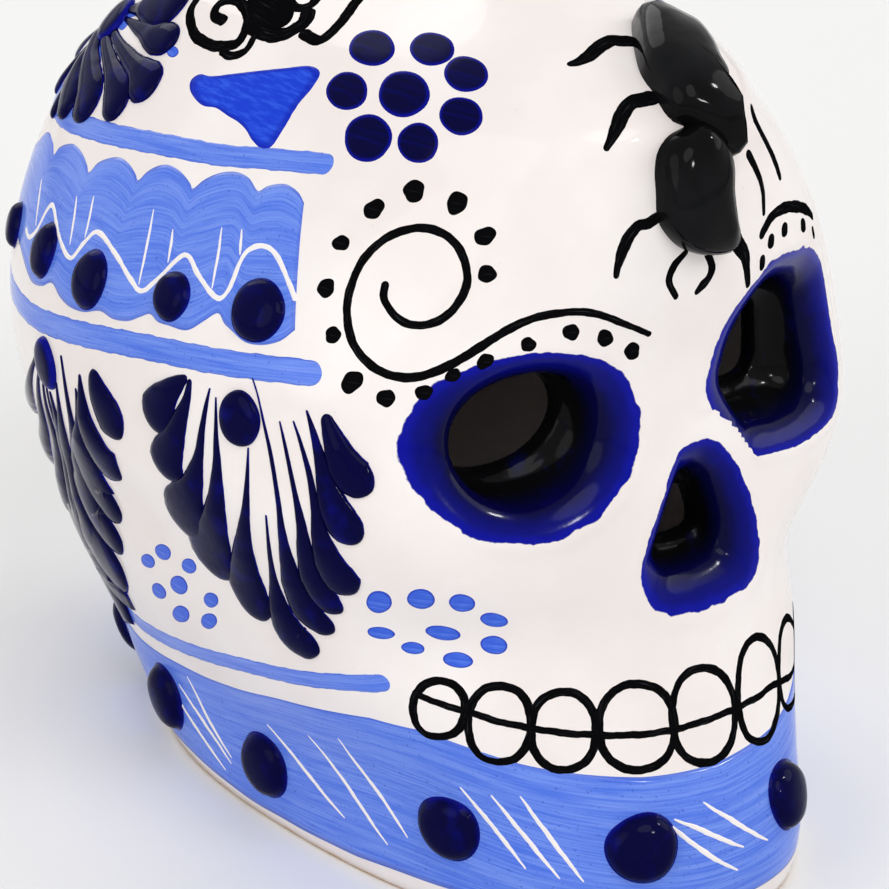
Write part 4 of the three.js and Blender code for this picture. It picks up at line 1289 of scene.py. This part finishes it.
class SKULL_OT_shell(SkullOperator):
    """Builds the glazed shell with its eyes, nose and open foot"""
    bl_idname = "skull.shell"
    bl_label = "Shell"

    def build(self, skull, sizes, colours):
        shell_piece(skull, sizes, colours)


class SKULL_OT_beetle(SkullOperator):
    """Builds the beetle's two raised lobes and paints its legs, feelers and jaws"""
    bl_idname = "skull.beetle"
    bl_label = "Beetle"

    def build(self, skull, sizes, colours):
        black = black_glaze(colours)
        rise = sizes.beetle_rise / MM
        for name, rows in (("beetle_head", BEETLE_HEAD_PIXELS),
                           ("beetle_tail", BEETLE_TAIL_PIXELS)):
            clay = Clay()
            clay.add(*outward(skull, blot(
                skull, raised_outline(skull, rows), rise, PEBBLE_RINGS, sink=0.8)))
            clay.piece(f"{name}_glaze", black, "black_glaze", [name])
        clay = Clay()
        for i, rows in enumerate(LEG_PIXELS):
            path, half_width = photo_trail(skull, rows)
            clay.add(*outward(skull, stroke(
                skull, path, half_width, sizes.paint_rise / MM, seed=40 + i, wobble=0.1)))
        clay.piece("beetle_legs", ink_line(colours), "black_glaze")


class SKULL_OT_pellets(SkullOperator):
    """Builds the round clay pellets on the temples and round the foot, and the ovals"""
    bl_idname = "skull.pellets"
    bl_label = "Pellets"

    def build(self, skull, sizes, colours):
        glaze = relief_glaze(colours)
        clay = Clay()
        names = []
        for i, (place, size) in enumerate(zip(TEMPLE_DOME_SHARES, TEMPLE_DOME_SIZES)):
            half_width, half_height = sizes.temple_dome / MM * np.array(size)
            add_dome(clay, skull, mirrored_place(place), half_width, half_height,
                     sizes.temple_rise / MM, mirrored=True, seed=i, wobble=0.03)
            names += [f"temple_dome_{side}_{i + 1}" for side in ("right", "left")]
        clay.piece("temple_pellets", glaze, "cobalt_glaze", names)
        clay = Clay()
        for i, place in enumerate(FOOT_DOME_SHARES):
            add_dome(clay, skull, place, sizes.foot_dome / MM, sizes.foot_dome / MM,
                     sizes.foot_rise / MM, seed=20 + i)
        names = [f"foot_dome_{i + 1}" for i in range(len(FOOT_DOME_SHARES))]
        clay.piece("foot_pellets", glaze, "cobalt_glaze", names)
        clay = Clay()
        add_dome(clay, skull, mirrored_place(SIDE_OVAL_SHARE), sizes.oval_half_width / MM,
                 sizes.oval_half_height / MM, sizes.oval_rise / MM, PEBBLE_RINGS,
                 mirrored=True, wobble=0.04)
        clay.piece("side_ovals", glaze, "cobalt_glaze", ["side_oval_right", "side_oval_left"])


class SKULL_OT_petals(SkullOperator):
    """Builds the raised slip petals of the side, rear and crown fans"""
    bl_idname = "skull.petals"
    bl_label = "Petals"

    def build(self, skull, sizes, colours):
        glaze = relief_glaze(colours, "cobalt_petals", 0.05, 0.3)
        clay = Clay()
        names = []
        for i, rows in enumerate(SIDE_PETAL_PIXELS):
            path, half_width = photo_trail(skull, rows)
            for trail in (path, turned_over(skull, path, FAR_FAN_TURN)):
                add_petal(clay, skull, sizes, trail, half_width, 100 + 2 * i, mirrored=False)
            names += [f"side_petal_{side}_{i + 1}" for side in ("right", "left")]
        clay.piece("side_petals", glaze, "cobalt_glaze", names)
        rear, crown = Clay(), Clay()
        for i, rows in enumerate(REAR_PETAL_PIXELS):
            add_petal(rear, skull, sizes, *photo_trail(skull, rows), 200 + 2 * i)
        for i, rows in enumerate(CROWN_PETAL_PIXELS):
            add_petal(crown, skull, sizes, *photo_trail(skull, rows), 240 + 2 * i)
        for clay, rows, size in ((rear, REAR_PETAL_SHARES, 0.8),
                                 (crown, CROWN_PETAL_SHARES, 0.5)):
            for i, shares in enumerate(rows):
                trail = plain_petal(skull, shares, sizes.petal_half_width / MM * size)
                add_petal(clay, skull, sizes, *trail, 260 + i)
        for name, clay, oval_share in (("rear_fan", rear, REAR_OVAL_SHARE),
                                       ("crown_fan", crown, CROWN_OVAL_SHARE)):
            add_dome(clay, skull, mirrored_place(oval_share), sizes.oval_half_width / MM,
                     sizes.oval_half_height / MM, sizes.oval_rise / MM, PEBBLE_RINGS,
                     mirrored=True, wobble=0.04)
            clay.piece(f"{name}s", glaze, "cobalt_glaze", [f"{name}_right", f"{name}_left"])


def rows_along(skull, rows, spacing=1.3):
    """A smooth line on the skull through rows of bearings and heights."""
    rows = np.array(rows, float)
    return smooth_path(skull.place(-rows[:, 0], rows[:, 1]), spacing)


class SKULL_OT_washes(SkullOperator):
    """Paints the blue washes: the foot band, the stripes and the temple panels"""
    bl_idname = "skull.washes"
    bl_label = "Washes"

    def build(self, skull, sizes, colours):
        rise = sizes.wash_rise / MM
        blue = blue_wash(colours)
        clay = Clay()
        bearings = np.linspace(-180, 180, 361)
        top, foot = (np.interp(np.abs(bearings), *np.array(rows).T)
                     for rows in (BAND_TOP, BAND_FOOT))
        share = bearings / 360 + 0.5
        top = top + 0.35 * ripple(share, 5, (4, 9, 17))
        foot = foot + 0.3 * ripple(share, 6, (5, 11, 19))
        clay.add(*outward(skull, wash(
            skull, skull.place(bearings, foot), skull.place(bearings, top), rise)))
        clay.piece("foot_band", blue, "white_glaze")
        clay = Clay()
        for i, (rows, half_width) in enumerate(STRIPES):
            path = rows_along(skull, rows)
            whole = np.vstack([path, path[-2::-1] * MIRROR])
            clay.add(*outward(skull, stroke(
                skull, whole, half_width, rise * 1.4, seed=60 + i, wobble=0.07)))
        clay.piece("stripes", blue, "white_glaze")
        clay = Clay()
        upper, lower = (
            smooth_path(np.vstack([skull.place(*(np.array(rows).T * [[-1], [1]])),
                                   skull.from_photo(pixels)]), 0.8)
            for rows, pixels in ((PANEL_REAR_TOP, PANEL_TOP_PIXELS),
                                 (PANEL_REAR_LOW, PANEL_LOW_PIXELS)))
        clay.add(*outward(skull, wash(skull, lower, upper, rise, spacing=1.0)),
                 mirrored=True)
        clay.piece("temple_panels", blue, "white_glaze")


class SKULL_OT_scratches(SkullOperator):
    """Scratches the white lines through the washes"""
    bl_idname = "skull.scratches"
    bl_label = "Scratches"

    def build(self, skull, sizes, colours):
        rise = (sizes.wash_rise + sizes.paint_rise) / MM
        clay = Clay()
        wave = smooth_path(skull.from_photo(PANEL_WAVE_PIXELS))
        clay.add(*outward(skull, stroke(
            skull, wave, 0.62, rise, seed=70, wobble=0.2)), mirrored=True)
        for i, pixels in enumerate(PANEL_TICK_PIXELS + SCRATCH_PIXELS):
            path = smooth_path(skull.from_photo(pixels), 0.5)
            share = np.linspace(0, 1, len(path))
            widest = TICK_HALF_WIDTH if i < len(PANEL_TICK_PIXELS) else SCRATCH_HALF_WIDTH
            half_width = widest * np.sin(np.pi * (0.06 + 0.88 * share)) ** 0.7
            clay.add(*outward(skull, stroke(
                skull, path, half_width, rise, seed=80 + i, wobble=0.2)),
                mirrored=max(x for x, _ in pixels) < MIRRORED_SCRATCH_X)
        clay.piece("scratches", bare_line(colours), "white_glaze")


class SKULL_OT_brows(SkullOperator):
    """Paints the spiral brows with their dots, and the scroll over them"""
    bl_idname = "skull.brows"
    bl_label = "Brows"

    def build(self, skull, sizes, colours):
        rise = sizes.paint_rise / MM
        ink = ink_line(colours)
        clay = Clay()
        near = skull.from_photo(BROW_PIXELS)
        far = turned_over(skull, near[:FAR_BROW_JOIN], FAR_BROW_TURN)
        arc = skull.from_photo(FAR_ARC_PIXELS)
        for seed, points, size in ((10, near, 1), (12, far, 1), (14, arc, FAR_ARC_WIDTH)):
            path = smooth_path(points)
            half_width = size * np.interp(
                np.linspace(0, 1, len(path)), [0, 0.5, 0.75, 0.9, 1],
                [0.85, 0.95, 0.95, 0.85, 0.6])
            clay.add(*outward(skull, stroke(
                skull, path, half_width, rise, seed=seed, wobble=0.12)))
        for i, (x, y, size) in enumerate(BROW_DOT_PIXELS):
            outline = photo_oval(skull, (x, y), size, size * 0.85, -40, 0.16, seed=i)
            sides = [outline]
            if x < MIRRORED_DOT_X:
                sides += [turned_over(skull, outline, FAR_BROW_TURN)]
            for side in sides:
                clay.add(*outward(skull, blot(skull, side, rise)))
        for i, (pixels, half_width) in enumerate(SCROLL_PIXELS):
            path = smooth_path(skull.from_photo(pixels))
            clay.add(*outward(skull, stroke(
                skull, path, half_width, rise, seed=30 + i, wobble=0.12)), mirrored=True)
        for x, y, half_width, half_height in SCROLL_DOT_PIXELS:
            outline = photo_oval(skull, (x, y), half_width, half_height, 0, 0.04, seed=3)
            clay.add(*outward(skull, blot(skull, outline, rise)), mirrored=True)
        clay.piece("brow_lines", ink, "black_glaze")


class SKULL_OT_teeth(SkullOperator):
    """Paints the row of teeth and the line between the jaws"""
    bl_idname = "skull.teeth"
    bl_label = "Teeth"

    def build(self, skull, sizes, colours):
        rise = sizes.paint_rise / MM
        clay = Clay()
        turn = np.linspace(0, 2 * np.pi, 60)
        boxes = [(box, skull.from_photo) for box in TEETH_PIXELS]
        boxes += [(box, lambda rows: skull.on_face(*rows.T)[0]) for box in HIDDEN_TEETH]
        for i, ((left, right, top, bottom), placed) in enumerate(boxes):
            turns = turn + 0.9 + i
            across, along = (np.sign(v) * np.abs(v) ** 0.9
                             for v in (np.cos(turns), np.sin(turns)))
            loop = placed(np.stack([
                (left + right) / 2 + (right - left) / 2 * across,
                (top + bottom) / 2 + (bottom - top) / 2 * along], -1))
            loop = np.vstack([loop, loop[1:4]])
            clay.add(*outward(skull, stroke(
                skull, smooth_path(loop, 0.6), 0.95, rise, seed=300 + i, wobble=0.14)))
        line = np.vstack([skull.from_photo(BITE_PIXELS),
                          skull.on_face(*np.array(HIDDEN_BITE).T)[0]])
        clay.add(*outward(skull, stroke(
            skull, smooth_path(line), 0.8, rise, seed=330, wobble=0.18)))
        clay.piece("teeth_lines", ink_line(colours), "black_glaze")


class SKULL_OT_flowers(SkullOperator):
    """Paints the dot flowers, the brushed triangles and the light dots on the cheeks"""
    bl_idname = "skull.flowers"
    bl_label = "Flowers"

    def build(self, skull, sizes, colours):
        rise = sizes.paint_rise / MM
        dark = flat_paint(colours, "flower_blue", colours.cobalt, colours.bright, 0.12)
        clear = flat_paint(colours, "triangle_blue", (0.012, 0.05, 0.62), (0.04, 0.13, 0.8), 0.7)
        light = flat_paint(colours, "dot_blue", (0.045, 0.12, 0.68), (0.15, 0.28, 0.85), 0.5)
        for name, rows, material, turn in (
                ("dot_flowers", FLOWER_PIXELS, dark, 4),
                ("cheek_dots", CHEEK_DOT_PIXELS, light, 8),
                ("jaw_dots", JAW_DOT_PIXELS, light, 50)):
            clay = Clay()
            for i, (x, y, half_width, half_height) in enumerate(rows):
                outline = photo_oval(
                    skull, (x, y), half_width, half_height, turn, 0.04, seed=i)
                other = turned_over(skull, outline, FAR_DOT_TURN[name])
                for side in (outline, other):
                    clay.add(*outward(skull, blot(skull, side, rise)))
            clay.piece(name, material, "cobalt_glaze")
        clay = Clay()
        for i, rows in enumerate(CROWN_SHADE_PIXELS):
            path, half_width = photo_trail(skull, rows)
            clay.add(*outward(skull, stroke(
                skull, path, half_width, rise, seed=360 + i)), mirrored=True)
        outline = photo_oval(skull, CROWN_DOT_PIXEL[:2], *CROWN_DOT_PIXEL[2:])
        clay.add(*outward(skull, blot(skull, outline, rise)), mirrored=True)
        clay.piece("crown_shades", light, "cobalt_glaze")
        clay = Clay()
        outline = smooth_path(skull.from_photo(TRIANGLE_PIXELS), 0.7, closed=True)[:-1]
        clay.add(*outward(skull, blot(skull, outline, rise)), mirrored=True)
        clay.piece("brushed_triangles", clear, "cobalt_glaze")


# Rosettes at the back: middle bearing and height, and how many petals
ROSETTES = [((180, 168), 8, 7.5), ((180, 118), 8, 9.5), ((180, 62), 8, 9.5)]


class SKULL_OT_rosettes(SkullOperator):
    """Paints the rosettes down the back of the skull"""
    bl_idname = "skull.rosettes"
    bl_label = "Rosettes"

    def build(self, skull, sizes, colours):
        rise = sizes.paint_rise / MM
        clay = Clay()
        for (bearing, height), count, reach in ROSETTES:
            middle = skull.place(bearing, height)
            across, up, _ = (v[0] for v in skull.frame_at(middle[None]))
            centre = oval(skull, middle, reach * 0.32, reach * 0.32, wobble=0.04)
            clay.add(*outward(skull, blot(skull, centre, rise)))
            for i in range(count):
                angle = 2 * math.pi * i / count
                ray = across * math.cos(angle) + up * math.sin(angle)
                path = middle + np.linspace(reach * 0.5, reach * 1.5, 24)[:, None] * ray
                share = np.linspace(0, 1, 24)
                half_width = reach * 0.26 * (0.3 + 0.7 * np.sin(np.pi * share**0.8 * 0.85))
                clay.add(*outward(skull, stroke(
                    skull, skull.seat(path), half_width, rise, seed=400 + i)))
        dark = flat_paint(colours, "rosette_blue", colours.cobalt, colours.bright, 0.2)
        clay.piece("rosettes", dark, "cobalt_glaze")


FLOOR_REACH = 40.0
FLOOR_SHADE = (0.86, 0.86, 0.855)
LIGHTS = [
    ("glint", (0.95, -0.85, 1.25), 0.14, 9.0),
    ("front_glint", (0.0, -1.6, 0.85), 0.12, 6.5),
    ("key", (-0.35, -1.25, 1.45), 1.1, 12.4),
    ("fill", (-1.5, -0.2, 0.75), 1.3, 8.0),
    ("side", (1.35, -0.6, 0.9), 1.0, 7.0),
    ("back", (0.3, 1.4, 1.1), 1.2, 9.0),
]


class SKULL_OT_stage(SkullOperator):
    """Sets the floor, the studio lights, the pale surroundings and the camera"""
    bl_idname = "skull.stage"
    bl_label = "Stage"

    def build(self, skull, sizes, colours):
        scene = bpy.context.scene
        scene.view_settings.view_transform = "Standard"
        self.floor()
        self.surroundings(scene)
        target = np.array([0.0, 0.0, 0.09])
        for name, place, size, power in LIGHTS:
            lamp = bpy.data.lights.new(name, "AREA")
            lamp.shape = "DISK"
            lamp.size = size
            lamp.energy = power
            light = bpy.data.objects.new(name, lamp)
            # The small lamps only show as reflections in the glaze
            light.visible_diffuse = "glint" not in name
            light.matrix_world = looking(np.array(place), target)
            scene.collection.objects.link(light)
        lens = bpy.data.cameras.new("camera")
        lens.sensor_width = SENSOR_WIDTH
        lens.lens = FOCAL_PIXELS * SENSOR_WIDTH / PHOTO_PIXELS
        lens.clip_start = 0.05
        camera = bpy.data.objects.new("camera", lens)
        eye, right, up, back = camera_frame(skull)
        camera.matrix_world = axes_matrix(right, up, back, eye * MM)
        scene.collection.objects.link(camera)
        scene.camera = camera

    def floor(self):
        corners = [(-1, -1), (1, -1), (1, 1), (-1, 1)]
        mesh = bpy.data.meshes.new("floor")
        mesh.from_pydata([(x * FLOOR_REACH, y * FLOOR_REACH, 0) for x, y in corners], [],
                         [(0, 1, 2, 3)])
        graph = Graph("floor_paper", 0.8, specular=0.2)
        grain = graph.noise(6, 3)
        shade = graph.mix(grain * 0.1, FLOOR_SHADE, (0.8, 0.8, 0.8))
        mesh.materials.append(graph.finish(Base_Color=shade))
        floor = bpy.data.objects.new("floor", mesh)
        bpy.context.scene.collection.objects.link(floor)

    def surroundings(self, scene):
        world = bpy.data.worlds.new("studio")
        scene.world = world
        world.use_nodes = True
        nodes, links = world.node_tree.nodes, world.node_tree.links
        nodes.clear()
        soft, seen = nodes.new("ShaderNodeBackground"), nodes.new("ShaderNodeBackground")
        soft.inputs["Color"].default_value = (0.98, 0.97, 0.96, 1)
        soft.inputs["Strength"].default_value = 0.5
        seen.inputs["Color"].default_value = (0.97, 0.97, 0.97, 1)
        seen.inputs["Strength"].default_value = 1.0
        rays, blend = nodes.new("ShaderNodeLightPath"), nodes.new("ShaderNodeMixShader")
        output = nodes.new("ShaderNodeOutputWorld")
        seen_rays = rays.outputs["Is Camera Ray"]
        for kind in ("Is Glossy Ray", "Is Transmission Ray"):
            both = nodes.new("ShaderNodeMath")
            both.operation = "MAXIMUM"
            links.new(seen_rays, both.inputs[0])
            links.new(rays.outputs[kind], both.inputs[1])
            seen_rays = both.outputs[0]
        links.new(seen_rays, blend.inputs["Fac"])
        links.new(soft.outputs[0], blend.inputs[1])
        links.new(seen.outputs[0], blend.inputs[2])
        links.new(blend.outputs[0], output.inputs["Surface"])


def axes_matrix(right, up, back, place):
    """A matrix whose columns are three directions and a place."""
    columns = np.column_stack([right, up, back, place])
    return Matrix([*columns.tolist(), (0, 0, 0, 1)])


def looking(place, target):
    """The matrix of a lamp at a place, turned to a target."""
    back = unit(place - target)
    right = unit(np.cross([0.0, 0.0, 1.0], back))
    return axes_matrix(right, np.cross(back, right), back, place)


class SKULL_PT_panel(bpy.types.Panel):
    """Lists the skull's sizes, colours and pieces."""
    bl_idname = "SKULL_PT_panel"
    bl_label = "Talavera Skull"
    bl_space_type = "VIEW_3D"
    bl_region_type = "UI"
    bl_category = "Skull"

    def draw(self, context):
        for group in (context.scene.skull_sizes, context.scene.skull_colours):
            box = self.layout.box()
            for name in group.__annotations__:
                box.prop(group, name)
        for operator in OPERATORS:
            self.layout.operator(operator.bl_idname)


OPERATORS = (
    SKULL_OT_shell, SKULL_OT_beetle, SKULL_OT_pellets, SKULL_OT_petals, SKULL_OT_washes,
    SKULL_OT_scratches, SKULL_OT_brows, SKULL_OT_teeth, SKULL_OT_flowers, SKULL_OT_rosettes,
    SKULL_OT_stage)
CLASSES = (SkullSizes, SkullColours, *OPERATORS, SKULL_PT_panel)


def register():
    """Registers the classes and the two groups of settings."""
    for cls in CLASSES:
        bpy.utils.register_class(cls)
    bpy.types.Scene.skull_sizes = bpy.props.PointerProperty(type=SkullSizes)
    bpy.types.Scene.skull_colours = bpy.props.PointerProperty(type=SkullColours)


def unregister():
    """Removes what register added."""
    del bpy.types.Scene.skull_colours
    del bpy.types.Scene.skull_sizes
    for cls in reversed(CLASSES):
        bpy.utils.unregister_class(cls)


def main():
    """Builds every piece in order."""
    register()
    bpy.ops.skull.stage()
    bpy.ops.skull.shell()
    bpy.ops.skull.beetle()
    bpy.ops.skull.pellets()
    bpy.ops.skull.petals()
    bpy.ops.skull.washes()
    bpy.ops.skull.scratches()
    bpy.ops.skull.brows()
    bpy.ops.skull.teeth()
    bpy.ops.skull.flowers()
    bpy.ops.skull.rosettes()


if __name__ == "__main__":
    main()
